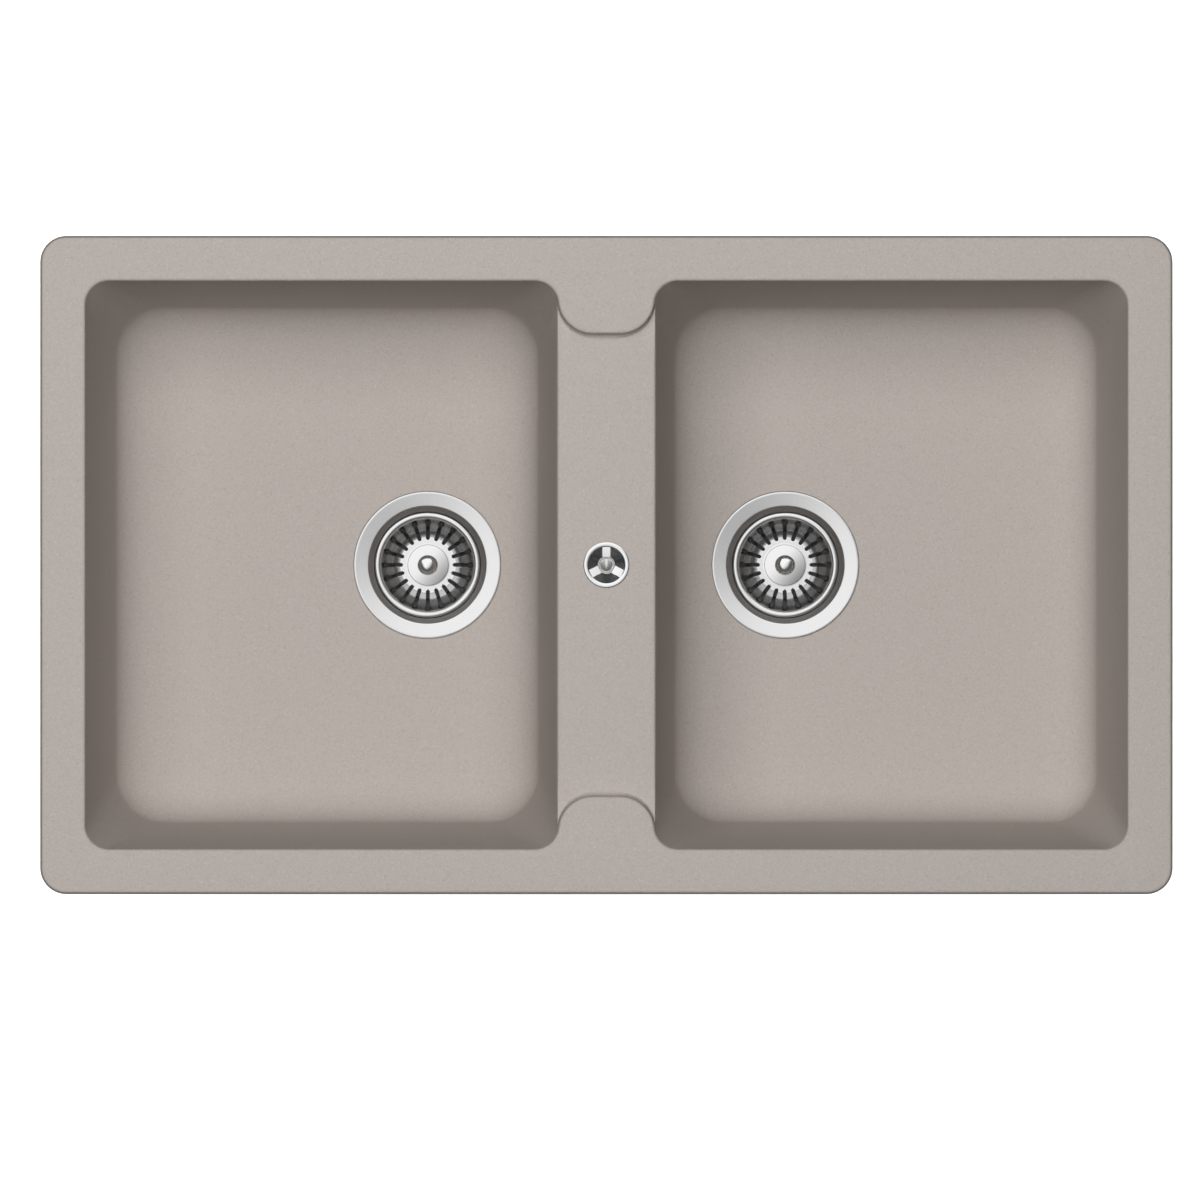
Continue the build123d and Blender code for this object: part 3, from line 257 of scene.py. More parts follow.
def quartz_composite():
    """Voronoi grains, each its own grey, with a few pale and dark flecks.

    The grains are about 1 mm across, coarser than the real sand, so that they show in the render.
    A point is on the back of the casting where its normal points away from its bowl's middle,
    below the rim, or where it faces down. The rim's outer edge, found by the distance to a rounded
    rectangle, is painted darker: a painted shade line along the outline.
    """
    material, tree = finish("quartz_composite_satin")
    place = add(tree, "ShaderNodeTexCoord")
    spot = add(tree, "ShaderNodeSeparateXYZ", Vector=place.outputs["Object"])
    grain = add(tree, "ShaderNodeTexVoronoi", Vector=place.outputs["Object"],
                Scale=1 / QUARTZ_GRAIN)
    tone = add(tree, "ShaderNodeSeparateColor", Color=grain.outputs["Color"])
    cloud = add(tree, "ShaderNodeTexNoise", Vector=place.outputs["Object"], Scale=1 / CLOUD,
                Detail=2.0)
    sand = add(tree, "ShaderNodeTexNoise", Vector=place.outputs["Object"], Scale=1 / FINE_SAND,
               Detail=2.0, Roughness=0.7)
    grains = add(tree, "ShaderNodeMix", COLOURS, _0=tone.outputs["Red"], _6=linear("#B1A9A3"),
                 _7=linear("#B7B0AA"))
    pale = add(tree, "ShaderNodeMath", {"operation": "GREATER_THAN"}, _0=tone.outputs["Green"],
               _1=PALE_ABOVE)
    dark = add(tree, "ShaderNodeMath", {"operation": "LESS_THAN"}, _0=tone.outputs["Green"],
               _1=DARK_BELOW)
    grains = add(tree, "ShaderNodeMix", COLOURS, _0=pale, _6=grains.outputs[2],
                 _7=linear("#BBB4AE"))
    grains = add(tree, "ShaderNodeMix", COLOURS, _0=dark, _6=grains.outputs[2],
                 _7=linear("#ACA59D"))

    face = add(tree, "ShaderNodeNewGeometry")
    side = add(tree, "ShaderNodeMath", {"operation": "SIGN"}, _0=spot.outputs["X"])
    away = add(tree, "ShaderNodeMath", {"operation": "MULTIPLY_ADD"}, _0=side, _1=-BOWL_MIDDLE,
               _2=spot.outputs["X"])
    outward = add(tree, "ShaderNodeCombineXYZ", X=away, Y=spot.outputs["Y"])
    turned_out = add(tree, "ShaderNodeVectorMath", {"operation": "DOT_PRODUCT"},
                     _0=face.outputs["Normal"], _1=outward)
    turned_out = add(tree, "ShaderNodeMath", {"operation": "GREATER_THAN"},
                     _0=turned_out.outputs["Value"], _1=BACK_TURN)
    below = add(tree, "ShaderNodeMath", {"operation": "LESS_THAN"}, _0=spot.outputs["Z"],
                _1=BACK_TOP)
    outside = add(tree, "ShaderNodeMath", {"operation": "MULTIPLY"}, _0=turned_out, _1=below)
    normal = add(tree, "ShaderNodeSeparateXYZ", Vector=face.outputs["Normal"])
    down = add(tree, "ShaderNodeMath", {"operation": "LESS_THAN"}, _0=normal.outputs["Z"],
               _1=BACK_DOWN)
    back = add(tree, "ShaderNodeMath", {"operation": "MAXIMUM"}, _0=outside, _1=down)

    raw = add(tree, "ShaderNodeMix", COLOURS, _0=cloud.outputs["Fac"], _6=linear("#9A938C"),
              _7=linear("#B5AEA7"))
    raw = add(tree, "ShaderNodeMix", COLOURS, _0=0.55, _6=grains.outputs[2], _7=raw.outputs[2])
    colour = add(tree, "ShaderNodeMix", COLOURS, _0=back, _6=grains.outputs[2], _7=raw.outputs[2])
    # The rim's outer edge is painted a darker colour, a painted shade line along the outline.
    rim_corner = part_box("sink_body")[1]
    inset = (rim_corner.x - CORNER_R, rim_corner.y - CORNER_R, 1)
    aside = add(tree, "ShaderNodeVectorMath", {"operation": "ABSOLUTE"}, _0=place.outputs["Object"])
    aside = add(tree, "ShaderNodeVectorMath", {"operation": "SUBTRACT"}, _0=aside, _1=inset)
    aside = add(tree, "ShaderNodeVectorMath", {"operation": "MAXIMUM"}, _0=aside, _1=(0, 0, 0))
    aside = add(tree, "ShaderNodeVectorMath", {"operation": "LENGTH"}, _0=aside)
    painted_edge_shade = add(tree, "ShaderNodeMath", {"operation": "GREATER_THAN"}, _0=aside.outputs["Value"],
                 _1=CORNER_R - PAINTED_SHADE_EDGE)
    colour = add(tree, "ShaderNodeMix", COLOURS, _0=painted_edge_shade, _6=colour.outputs[2],
                 _7=linear("#89827C"))
    rough = add(tree, "ShaderNodeMath", {"operation": "MULTIPLY_ADD"}, _0=back, _1=0.1, _2=0.65)
    height = add(tree, "ShaderNodeMath", {"operation": "MULTIPLY_ADD"}, _0=back, _1=4.0, _2=1.0)
    height = add(tree, "ShaderNodeMath", {"operation": "MULTIPLY"}, _0=height,
                 _1=sand.outputs["Fac"])
    bump = add(tree, "ShaderNodeBump", Height=height, Strength=0.25, Distance=0.00008)
    skin = add(tree, "ShaderNodeBsdfPrincipled", Base_Color=colour.outputs[2], Roughness=rough,
               IOR=1.49, Specular_IOR_Level=0.02, Normal=bump)
    add(tree, "ShaderNodeOutputMaterial", Surface=skin)
    return material


dress(["sink_body"], quartz_composite())

# ---- foam seal -----------------------------------------------------------------------------
# A strip of closed-cell foam rubber laid in the groove under the rim, with its ends butted. It is
# crowned, so that the sink's weight squeezes it against the worktop.

SEAL_STEPS = 24
SEAL_CORNER_R = 0.017
SEAL_WIDTH = 0.004
SEAL_CROWN = 0.35
FOAM_CELL = 0.0006


def mesh_piece(name, points, body, material, closed_rows=False, keep=None):
    """A grid of points, rows by columns with its columns closed, as a piece riding on a body.

    keep says which cells stay. Coinciding points are merged, so poles and seams are closed, and
    the faces of a closed surface are turned outwards.
    """
    rows, columns = points.shape[:2]
    row, column = np.meshgrid(np.arange(rows if closed_rows else rows - 1), np.arange(columns),
                              indexing="ij")
    next_row, next_column = (row + 1) % rows, (column + 1) % columns
    cells = np.stack([row * columns + column, row * columns + next_column,
                      next_row * columns + next_column, next_row * columns + column], -1)
    cells = cells.reshape(-1, 4) if keep is None else cells[keep]
    mesh = bpy.data.meshes.new(name)
    mesh.from_pydata(points.reshape(-1, 3).tolist(), [], cells.tolist())
    shape = bmesh.new()
    shape.from_mesh(mesh)
    bmesh.ops.remove_doubles(shape, verts=shape.verts, dist=1e-7)
    loose = [corner for corner in shape.verts if not corner.link_faces]
    bmesh.ops.delete(shape, geom=loose, context="VERTS")
    if all(len(line.link_faces) == 2 for line in shape.edges):
        bmesh.ops.recalc_face_normals(shape, faces=shape.faces)
    shape.to_mesh(mesh)
    shape.free()
    mesh.materials.append(material)
    mesh.polygons.foreach_set("use_smooth", [True] * len(mesh.polygons))
    piece = bpy.data.objects.new(name, mesh)
    bpy.context.scene.collection.objects.link(piece)
    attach(piece, body)
    return piece


def foam_rubber():
    """Black foam whose cells, a little over half a millimetre across, are cut open at the skin."""
    material, tree = finish("black_closed_cell_foam")
    place = add(tree, "ShaderNodeTexCoord")
    cells = add(tree, "ShaderNodeTexVoronoi", Vector=place.outputs["Object"], Scale=1 / FOAM_CELL)
    tone = add(tree, "ShaderNodeMix", COLOURS, _0=cells.outputs["Distance"], _6=linear("#17181A"),
               _7=linear("#34363A"))
    bump = add(tree, "ShaderNodeBump", Height=cells.outputs["Distance"], Strength=0.7,
               Distance=0.0003)
    skin = add(tree, "ShaderNodeBsdfPrincipled", Base_Color=tone.outputs[2], Roughness=0.85,
               IOR=1.5, Normal=bump)
    add(tree, "ShaderNodeOutputMaterial", Surface=skin)
    return material


def foam_strip():
    """A rounded rectangle carrying a section whose lower face bulges as half a sine.

    A point of the path is a corner's centre plus the corner radius along its angle, and a point
    of the section is an offset inwards along that angle, with its height.
    """
    low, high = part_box("worktop_seal")
    turn = np.linspace(0, math.pi / 2, SEAL_STEPS)
    angle = np.concatenate([turn + quarter * math.pi / 2 for quarter in range(4)])
    quarter = np.repeat(np.arange(4), SEAL_STEPS)
    centre_x = np.where((quarter == 0) | (quarter == 3), high.x - SEAL_CORNER_R,
                        low.x + SEAL_CORNER_R)
    centre_y = np.where(quarter < 2, high.y - SEAL_CORNER_R, low.y + SEAL_CORNER_R)
    across = np.linspace(0, 1, 9)
    depth = high.z - low.z
    bulge = low.z + depth * SEAL_CROWN * (1 - np.sin(math.pi * across))
    section = np.concatenate([np.stack([across * SEAL_WIDTH, bulge], 1),
                              [[SEAL_WIDTH, high.z], [0, high.z]]])
    every = np.ones((len(angle), 1))
    reach = every * (SEAL_CORNER_R - section[:, 0])
    return np.stack([centre_x[:, None] + reach * np.cos(angle)[:, None],
                     centre_y[:, None] + reach * np.sin(angle)[:, None], every * section[:, 1]], -1)


seal = mesh_piece("foam_seal", foam_strip(), "root", foam_rubber(), closed_rows=True)
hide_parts("worktop_seal")

# ---- worktop clips and their screws --------------------------------------------------------
# Eight straps punched and bent from spring steel, swinging on screws driven up into the bosses.
# Straps, screws and hose clips are bright zinc plated, which gives a bluish, faintly flowered grey.

ZINC_FLOWER = 0.004
ZINC_SMEARS_PER_METRE = 180.0
STRAP_CLEAR = 0.0025
SCREW_PITCH = 0.0015
SCREW_SHANK = 0.0025
SCREW_CREST = 0.00045


def zinc_plate():
    """Bright zinc on steel: pale blue-grey, with faint crystals a few millimetres across."""
    material, tree = finish("bright_zinc_plated_steel")
    place = add(tree, "ShaderNodeTexCoord")
    flower = add(tree, "ShaderNodeTexVoronoi", Vector=place.outputs["Object"],
                 Scale=1 / ZINC_FLOWER)
    tone = add(tree, "ShaderNodeSeparateColor", Color=flower.outputs["Color"])
    smear = add(tree, "ShaderNodeTexNoise", Vector=place.outputs["Object"],
                Scale=ZINC_SMEARS_PER_METRE, Detail=4.0)
    colour = add(tree, "ShaderNodeMix", COLOURS, _0=tone.outputs["Red"], _6=linear("#BFC4C9"),
                 _7=linear("#D3D7DA"))
    rough = add(tree, "ShaderNodeMath", {"operation": "MULTIPLY_ADD"}, _0=smear.outputs["Fac"],
                _1=0.25, _2=0.22)
    bump = add(tree, "ShaderNodeBump", Height=smear.outputs["Fac"], Strength=0.15, Distance=0.0002)
    skin = add(tree, "ShaderNodeBsdfPrincipled", Base_Color=colour.outputs[2], Metallic=1.0,
               Roughness=rough, Normal=bump)
    add(tree, "ShaderNodeOutputMaterial", Surface=skin)
    return material


def helix_ridge(radius, crest, pitch, low, high, steps=24):
    """The ridge of a thread about Z, as rows of three points: root, crest and root.

    The angle runs on by a turn for each pitch of height, the roots lie just inside the shank, and
    the crest rises out of it over the first half turn and sinks back over the last. The ridge is
    0.84 of a pitch wide at its foot.
    """
    turns = (high - low) / pitch
    run = np.linspace(0, 1, int(turns * steps) + 1)
    angle = 2 * math.pi * turns * run
    rise = np.clip(2 * turns * np.minimum(run, 1 - run), 0, 1)
    root = radius - 0.3 * crest
    foot = np.full_like(run, root)
    reach = np.stack([foot, root + 1.3 * crest * rise, foot], 1)
    spread = pitch * np.array([-0.42, 0, 0.42]) * rise[:, None]
    height = (low + (high - low) * run)[:, None] + spread
    return np.stack([reach * np.cos(angle)[:, None], reach * np.sin(angle)[:, None], height], -1)


zinc = zinc_plate()
swivels = [row for row in frame["record"]["behaviour"]["joints"] if row["name"].endswith("swivel")]
dress([row["child"] for row in swivels] + ["clip_screws"], zinc)
strap_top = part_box("clip_1")[0].z + STRAP_CLEAR
dowel_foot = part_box("clip_dowels")[0].z
for number, row in enumerate(swivels, start=1):
    ridge = helix_ridge(SCREW_SHANK, SCREW_CREST, SCREW_PITCH, strap_top, dowel_foot)
    ridge = mesh_piece(f"clip_screw_thread_{number}", ridge + (*row["pos_m"][:2], 0), "root", zinc)

# ---- screw plugs ---------------------------------------------------------------------------
# Moulded nylon plugs, pressed into the blind bosses of the casting, that the screws bite into.
# Natural nylon is a milky, slightly yellow white.

MOULD_GRAIN = 0.0007
CLOUDS_PER_METRE = 45.0


def moulded_plastic(name, code, second, roughness):
    """Injection-moulded plastic: one colour, clouded a little by the melt, with an eroded grain."""
    material, tree = finish(name)
    place = add(tree, "ShaderNodeTexCoord")
    melt = add(tree, "ShaderNodeTexNoise", Vector=place.outputs["Object"], Scale=CLOUDS_PER_METRE,
               Detail=3.0)
    grain = add(tree, "ShaderNodeTexNoise", Vector=place.outputs["Object"], Scale=1 / MOULD_GRAIN,
                Detail=2.0)
    colour = add(tree, "ShaderNodeMix", COLOURS, _0=melt.outputs["Fac"], _6=linear(code),
                 _7=linear(second))
    rough = add(tree, "ShaderNodeMath", {"operation": "MULTIPLY_ADD"}, _0=melt.outputs["Fac"],
                _1=0.12, _2=roughness - 0.06)
    bump = add(tree, "ShaderNodeBump", Height=grain.outputs["Fac"], Strength=0.2, Distance=0.0001)
    skin = add(tree, "ShaderNodeBsdfPrincipled", Base_Color=colour.outputs[2], Roughness=rough,
               IOR=1.49, Normal=bump)
    add(tree, "ShaderNodeOutputMaterial", Surface=skin)
    return material


dress(["clip_dowels"], moulded_plastic("natural_nylon", "#DEDACD", "#D2CDBC", 0.45))

# ---- gaskets -------------------------------------------------------------------------------
# Flat rings cut from black rubber sheet: under each flange, under each bowl, and at the overflow.
# Cut rubber is dull, with a trace of pale dusting powder.

RUBBER_DUST = 0.006


def black_rubber():
    """Vulcanised rubber: near black and dull, dusted unevenly with talc."""
    material, tree = finish("black_sheet_rubber")
    place = add(tree, "ShaderNodeTexCoord")
    dust = add(tree, "ShaderNodeTexNoise", Vector=place.outputs["Object"], Scale=1 / RUBBER_DUST,
               Detail=6.0, Roughness=0.65)
    colour = add(tree, "ShaderNodeMix", COLOURS, _0=dust.outputs["Fac"], _6=linear("#1C1D1F"),
                 _7=linear("#37383A"))
    bump = add(tree, "ShaderNodeBump", Height=dust.outputs["Fac"], Strength=0.2, Distance=0.0002)
    skin = add(tree, "ShaderNodeBsdfPrincipled", Base_Color=colour.outputs[2], Roughness=0.68,
               IOR=1.52, Normal=bump)
    add(tree, "ShaderNodeOutputMaterial", Surface=skin)
    return material


rubber = black_rubber()
SIDES = ("left", "right")
dress([f"{kind}_{side}" for kind in ("flange_gasket", "body_gasket", "waste_nut_seal", "tee_seal")
       for side in SIDES] + ["overflow_gasket", "overflow_body_gasket"], rubber)

# ---- waste flanges -------------------------------------------------------------------------
# Each is one dish pressed from stainless sheet: a flange that falls slightly to the drain, a rolled
# lip, a tapered wall, a seat for the stopper, and a sunk hub on four arms for the centre bolt.

DISH_SHEET = 1.2
DISH_BEVEL = 0.08
DISH_MOUTH = 0.0009
ARMS = 4
ARM_HALF = 3.5
ARM_COLUMNS = 8
ARM_SECTOR = 64
ARM_BENT = (21, 32)
WINDOW = (9, 19)
LATHE_LINE = 0.0005
PRESS_WAVE = 0.012


def arc(centre_r, centre_z, radius, start, end, count=9):
    """Points of a profile on a circle, from one angle to another, in degrees."""
    turn = np.radians(np.linspace(start, end, count))
    return np.stack([centre_r + radius * np.cos(turn), centre_z + radius * np.sin(turn)], 1)


def straight(start, end, count=6):
    """Points of a profile on a line, without its two ends."""
    share = np.linspace(0, 1, count + 2)[1:-1, None]
    return np.array(start) * (1 - share) + np.array(end) * share


def turned(profile, place, angles=None, columns=96):
    """Carry a profile of (radius, height) points in millimetres round Z at a place in metres.

    A point (r, z) goes to (r cos a, r sin a, z) at each column's angle a, which may differ from
    row to row.
    """
    if angles is None:
        angles = np.broadcast_to(np.linspace(0, 2 * math.pi, columns, endpoint=False),
                                 (len(profile), columns))
    radius, height = profile[:, :1], profile[:, 1:]
    flat = np.stack([radius * np.cos(angles), radius * np.sin(angles),
                     np.broadcast_to(height, angles.shape)], -1)
    return flat / 1000 + np.array(place)


def sector_angles(half_angle, sectors, start, across, between):
    """Angles of a grid's columns in equal sectors, each opened by a band about its middle.

    The band's columns run from minus to plus its half angle, which varies from row to row, and
    the other columns share what is left up to the next sector's band.
    """
    half = half_angle[:, None]
    pitch = 2 * math.pi / sectors
    band = half * np.linspace(-1, 1, across, endpoint=False)
    rest = half + (pitch - 2 * half) * np.linspace(0, 1, between, endpoint=False)
    one = np.concatenate([band, rest], 1)[:, None, :]
    every = one + start + pitch * np.arange(sectors)[None, :, None]
    return every.reshape(len(half), -1)


def finish_sheet(piece, thickness, bevel):
    """Give an open sheet its thickness behind its face, and soften its cut edges, for good."""
    wall = piece.modifiers.new("wall", "SOLIDIFY")
    wall.thickness = thickness / 1000
    wall.offset = -1
    wall.use_even_offset = True
    soft = piece.modifiers.new("soft", "BEVEL")
    soft.width = bevel / 1000
    soft.segments = 2
    soft.limit_method = "ANGLE"
    soft.angle_limit = math.radians(50)
    shaped = piece.evaluated_get(bpy.context.evaluated_depsgraph_get())
    solid = bpy.data.meshes.new_from_object(shaped)
    solid.name = piece.name
    solid.set_sharp_from_angle(angle=math.radians(40))
    piece.modifiers.clear()
    piece.data = solid


def pressed_steel(name, middle, roughness, line_strength, dent, below, beyond, darker_colour,
                  dull_roughness):
    """Stainless steel spun about one middle: fine rings, and slight waves of pressing.

    The rings are half a millimetre apart, coarser than the real ones, so that they show. Below a
    height and beyond a radius it has a darker colour and a rougher finish.
    """
    material, tree = finish(name)
    place = add(tree, "ShaderNodeTexCoord")
    centred = add(tree, "ShaderNodeMapping", Vector=place.outputs["Object"],
                  Location=(-middle, 0, 0))
    flat = add(tree, "ShaderNodeVectorMath", {"operation": "MULTIPLY"}, _0=centred, _1=(1, 1, 0))
    radius = add(tree, "ShaderNodeVectorMath", {"operation": "LENGTH"}, _0=flat)
    rings = add(tree, "ShaderNodeTexNoise", {"noise_dimensions": "1D"}, W=radius.outputs["Value"],
                Scale=1 / LATHE_LINE, Detail=2.0)
    wave = add(tree, "ShaderNodeTexNoise", Vector=place.outputs["Object"], Scale=1 / PRESS_WAVE,
               Detail=2.0)
    spot = add(tree, "ShaderNodeSeparateXYZ", Vector=place.outputs["Object"])
    low = add(tree, "ShaderNodeMath", {"operation": "LESS_THAN"}, _0=spot.outputs["Z"], _1=below)
    wide = add(tree, "ShaderNodeMath", {"operation": "GREATER_THAN"}, _0=radius.outputs["Value"],
               _1=beyond)
    darker_duller = add(tree, "ShaderNodeMath", {"operation": "MULTIPLY"}, _0=low, _1=wide)
    # Below the height and beyond the radius the colour is darker; in the waste dish this is painted
    # shade.
    colour = add(tree, "ShaderNodeMix", COLOURS, _0=darker_duller, _6=linear("#F6F6F6"), _7=linear(darker_colour))
    rough = add(tree, "ShaderNodeMath", {"operation": "MULTIPLY_ADD"}, _0=rings.outputs["Fac"],
                _1=roughness * 0.4, _2=roughness * 0.8)
    rough = add(tree, "ShaderNodeMath", {"operation": "MULTIPLY_ADD"}, _0=darker_duller,
                _1=dull_roughness - roughness, _2=rough)
    soft = add(tree, "ShaderNodeBump", Height=wave.outputs["Fac"], Strength=dent, Distance=0.0003)
    bump = add(tree, "ShaderNodeBump", Height=rings.outputs["Fac"], Strength=line_strength,
               Distance=0.00003, Normal=soft)
    skin = add(tree, "ShaderNodeBsdfPrincipled", Base_Color=colour.outputs[2], Metallic=1.0,
               Roughness=rough, Normal=bump)
    add(tree, "ShaderNodeOutputMaterial", Surface=skin)
    return material


def dish_profile():
    """The dish's upper face, in millimetres from the flange's edge in to the bolt's hole."""
    return np.concatenate([
        [[56.8, 0]], straight((56.8, 0), (46.4, -0.65), 6), arc(46.4, -2.25, 1.6, 90, 130, 6),
        straight((45.37, -1.02), (42, -3.85), 4), arc(43.03, -5.076, 1.6, 130, 178, 6),
        straight((41.43, -5.02), (41.2, -24.4), 8), arc(37.2, -24.4, 4, 0, -52, 9),
        straight((39.66, -27.55), (27.5, -37), 6), [[27.5, -37]],
        straight((27.5, -37), (24, -37), 2), arc(23.6, -38.4, 1.4, 90, 158, 4),
        arc(20.0, -40.6, 1.4, -22, -90, 4),
        [[19, -42]], straight((19, -42), (9, -42), 5), [[9, -42], [7, -42], [5.1, -42]]])


def waste_dish(side, middle, material):
    """The dish, its grid's columns bent to run along the four arms, and four windows left out.

    An arm's half angle at a radius r is the angle whose sine is its half width over r. It passes
    into evenly spread columns between two radii.
    """
    profile = dish_profile()
    radius = profile[:, 0]
    along_arm = np.arcsin(ARM_HALF / radius)
    even = math.pi / ARMS * ARM_COLUMNS / ARM_SECTOR
    half = np.interp(radius, ARM_BENT, [0, 1]) * (even - along_arm) + along_arm
    angles = sector_angles(half, ARMS, 0, ARM_COLUMNS, ARM_SECTOR - ARM_COLUMNS)
    cell_r = (radius[1:] + radius[:-1]) / 2
    in_window = (cell_r > WINDOW[0]) & (cell_r < WINDOW[1])
    between = np.tile(np.arange(ARM_SECTOR) >= ARM_COLUMNS, ARMS)
    place = (middle, 0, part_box(f"waste_flange_{side}")[1].z)
    dish = mesh_piece(f"waste_dish_{side}", turned(profile, place, angles), "root", material,
                      keep=~(in_window[:, None] & between[None, :]))
    finish_sheet(dish, DISH_SHEET, DISH_BEVEL)
    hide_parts(f"waste_flange_{side}")


middles = {}
for side in SIDES:
    low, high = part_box(f"waste_flange_{side}")
    middles[side] = (low.x + high.x) / 2
    # The dish below its mouth gets the darker colour: painted shade inside the waste.
    satin = pressed_steel(f"satin_pressed_steel_{side}", middles[side], 0.2, 0.6, 0.02,
                          high.z - DISH_MOUTH, 0, "#C4C4C4", 0.5)
    waste_dish(side, middles[side], satin)

# ---- strainer baskets ----------------------------------------------------------------------
# Each basket is pressed from stainless sheet and polished: a rolled rim, a round-shouldered wall
# cut by twenty slots into petals, and a slightly domed disc in the middle that stiffens the floor.

BASKET_SHEET = 0.8
BASKET_BEVEL = 0.12
PETAL_TOP = 0.004
PETAL_FOOT_R = 0.0217
SLOTS = 20
SLOT_HALF = 1.4
SLOT_INNER = 19.5
SLOT_OUTER = 34.4
SLOT_COLUMNS = 2
PETAL_COLUMNS = 8


def basket_rim():
    """The rim from its hem over the crowned top to the wall, in millimetres below the flange."""
    return np.concatenate([[[40.8, -6.6]], arc(39.96, -5.055, 0.9, 0, 78, 7),
                           arc(38.69, -11, 7, 78, 101, 9), arc(37.736, -6.092, 2, 101, 170, 8)])


def basket_wall(start, extra):
    """The wall from the rim, the shoulder, the floor and the domed disc, with rows at extra radii.

    The wall is the line from its start that touches the shoulder's circle: it lies at the start's
    bearing from the circle's centre, less the angle whose cosine is radius over distance. The
    disc's height falls with the square of the radius.
    """
    floor_r, centre_z, shoulder = 21.8, -18.9, 12.0
    bearing = math.atan2(start[1] - centre_z, start[0] - floor_r)
    distance = math.hypot(start[1] - centre_z, start[0] - floor_r)
    touch = bearing - math.acos(shoulder / distance)
    touch_point = (floor_r + shoulder * math.cos(touch), centre_z + shoulder * math.sin(touch))
    disc_r = np.array([15.6, 14, 12, 10, 8, 6, 4.4, 3])
    disc = np.stack([disc_r, -29.75 - 0.68 * (disc_r / 15) ** 2], 1)
    rows = np.concatenate([
        straight(start, touch_point, 10),
        arc(floor_r, centre_z, shoulder, math.degrees(touch), -90, 30),
        straight((floor_r, -30.9), (16.2, -30.9), 4), [[16.2, -30.9], [15.9, -30.85]], disc])
    rows = rows[np.argsort(-rows[:, 0], kind="stable")]
    more = np.stack([extra, np.interp(extra, rows[::-1, 0], rows[::-1, 1])], 1)
    rows = np.concatenate([rows, more])
    return rows[np.argsort(-rows[:, 0], kind="stable")]


def strainer_basket(side, middle, material):
    """The basket, with its grid's columns bent to run along the slots, whose cells are left out.

    A slot's half width is its circle's half chord at each rounded end, so its half angle at a
    radius r is the angle whose sine is that over r.
    """
    ease = SLOT_HALF * (1 - np.cos(np.radians(np.linspace(0, 90, 6))))
    ends = np.concatenate([SLOT_INNER + ease, SLOT_OUTER - ease])
    rim = basket_rim()
    profile = np.concatenate([rim, basket_wall(rim[-1], ends)])
    radius = profile[:, 0]
    into_end = np.maximum(SLOT_INNER + SLOT_HALF - radius, radius - SLOT_OUTER + SLOT_HALF).clip(0)
    half_width = np.sqrt(np.clip(SLOT_HALF ** 2 - into_end ** 2, 0, None))
    half_width[:len(rim)] = 0
    angles = sector_angles(np.arcsin(half_width / radius), SLOTS, math.pi / 2, SLOT_COLUMNS,
                           PETAL_COLUMNS)
    petal = np.tile(np.arange(SLOT_COLUMNS + PETAL_COLUMNS) >= SLOT_COLUMNS, SLOTS)
    place = (middle, 0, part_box(f"waste_flange_{side}")[1].z)
    keep = np.broadcast_to(petal[None, :], (len(profile) - 1, len(petal)))
    basket = mesh_piece(f"basket_{side}_pressing", turned(profile, place, angles), f"basket_{side}",
                        material, keep=keep)
    finish_sheet(basket, BASKET_SHEET, BASKET_BEVEL)
    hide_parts(f"strainer_basket_{side}")


for side in SIDES:
    rim_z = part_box(f"strainer_basket_{side}")[1].z
    # The basket's wall below its rim and beyond its floor gets the darker colour and the rougher
    # finish.
    polished = pressed_steel(f"polished_pressed_steel_{side}", middles[side], 0.13, 0.15, 0.03,
                             rim_z - PETAL_TOP, PETAL_FOOT_R, "#C6C6C6", 0.2)
    strainer_basket(side, middles[side], polished)

# ---- basket knobs --------------------------------------------------------------------------
# A turned brass knob, chromium plated, screwed onto each stem: a flattened ball on a waisted neck.
# Chromium is bluish and mirror bright.

BALL_R = 7.9
BALL_RISE = 5.8
BELLY_Z = 11.2
BALL_POWER = 0.72
HAZE_PER_METRE = 300.0


def chromium():
    """Chromium plate on turned brass, a mirror with the faintest polishing haze."""
    material, tree = finish("bright_chromium_plate")
    place = add(tree, "ShaderNodeTexCoord")
    haze = add(tree, "ShaderNodeTexNoise", Vector=place.outputs["Object"], Scale=HAZE_PER_METRE,
               Detail=3.0)
    rough = add(tree, "ShaderNodeMath", {"operation": "MULTIPLY_ADD"}, _0=haze.outputs["Fac"],
                _1=0.06, _2=0.05)
    skin = add(tree, "ShaderNodeBsdfPrincipled", Base_Color=linear("#FBFCFC"), Metallic=1.0,
               Roughness=rough)
    add(tree, "ShaderNodeOutputMaterial", Surface=skin)
    return material


def knob_profile():
    """The knob from foot to crown: a waist, then a ball 15.8 mm wide with a flattened top.

    The ball's radius and height go with the cosine and sine of an angle, each to a power below 1
    above the belly, which flattens it.
    """
    turn = np.radians(np.linspace(0, 90, 22))
    ball = np.stack([BALL_R * np.cos(turn) ** BALL_POWER,
                     BELLY_Z + BALL_RISE * np.sin(turn) ** BALL_POWER], 1)
    turn = np.radians(np.linspace(-55.4, -5, 10))
    below = np.stack([BALL_R * np.cos(turn), BELLY_Z + BALL_RISE * np.sin(turn)], 1)
    foot = np.array([[0, 0], [4.9, 0], [5.2, 0.3], [5.2, 1.0], [4.9, 1.3]])
    return np.concatenate([foot, arc(8.4, 4.1, 4.5, 214, 152, 9), below, ball])


chrome = chromium()
for side in SIDES:
    place = (middles[side], 0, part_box(f"basket_knob_{side}")[0].z)
    knob = mesh_piece(f"knob_{side}", turned(knob_profile(), place, columns=64),
                      f"basket_{side}", chrome)
    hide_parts(f"basket_knob_{side}")

# ---- stems, washers and centre bolts -------------------------------------------------------
# Turned and headed stainless pieces inside each waste: the basket's stem, the washer that backs
# the stopper, and the hollow bolt that draws dish and body together. The screw of the overflow's
# rose is the same steel.

SLOT_FLOOR = 0.0008
MOTTLES_PER_METRE = 400.0


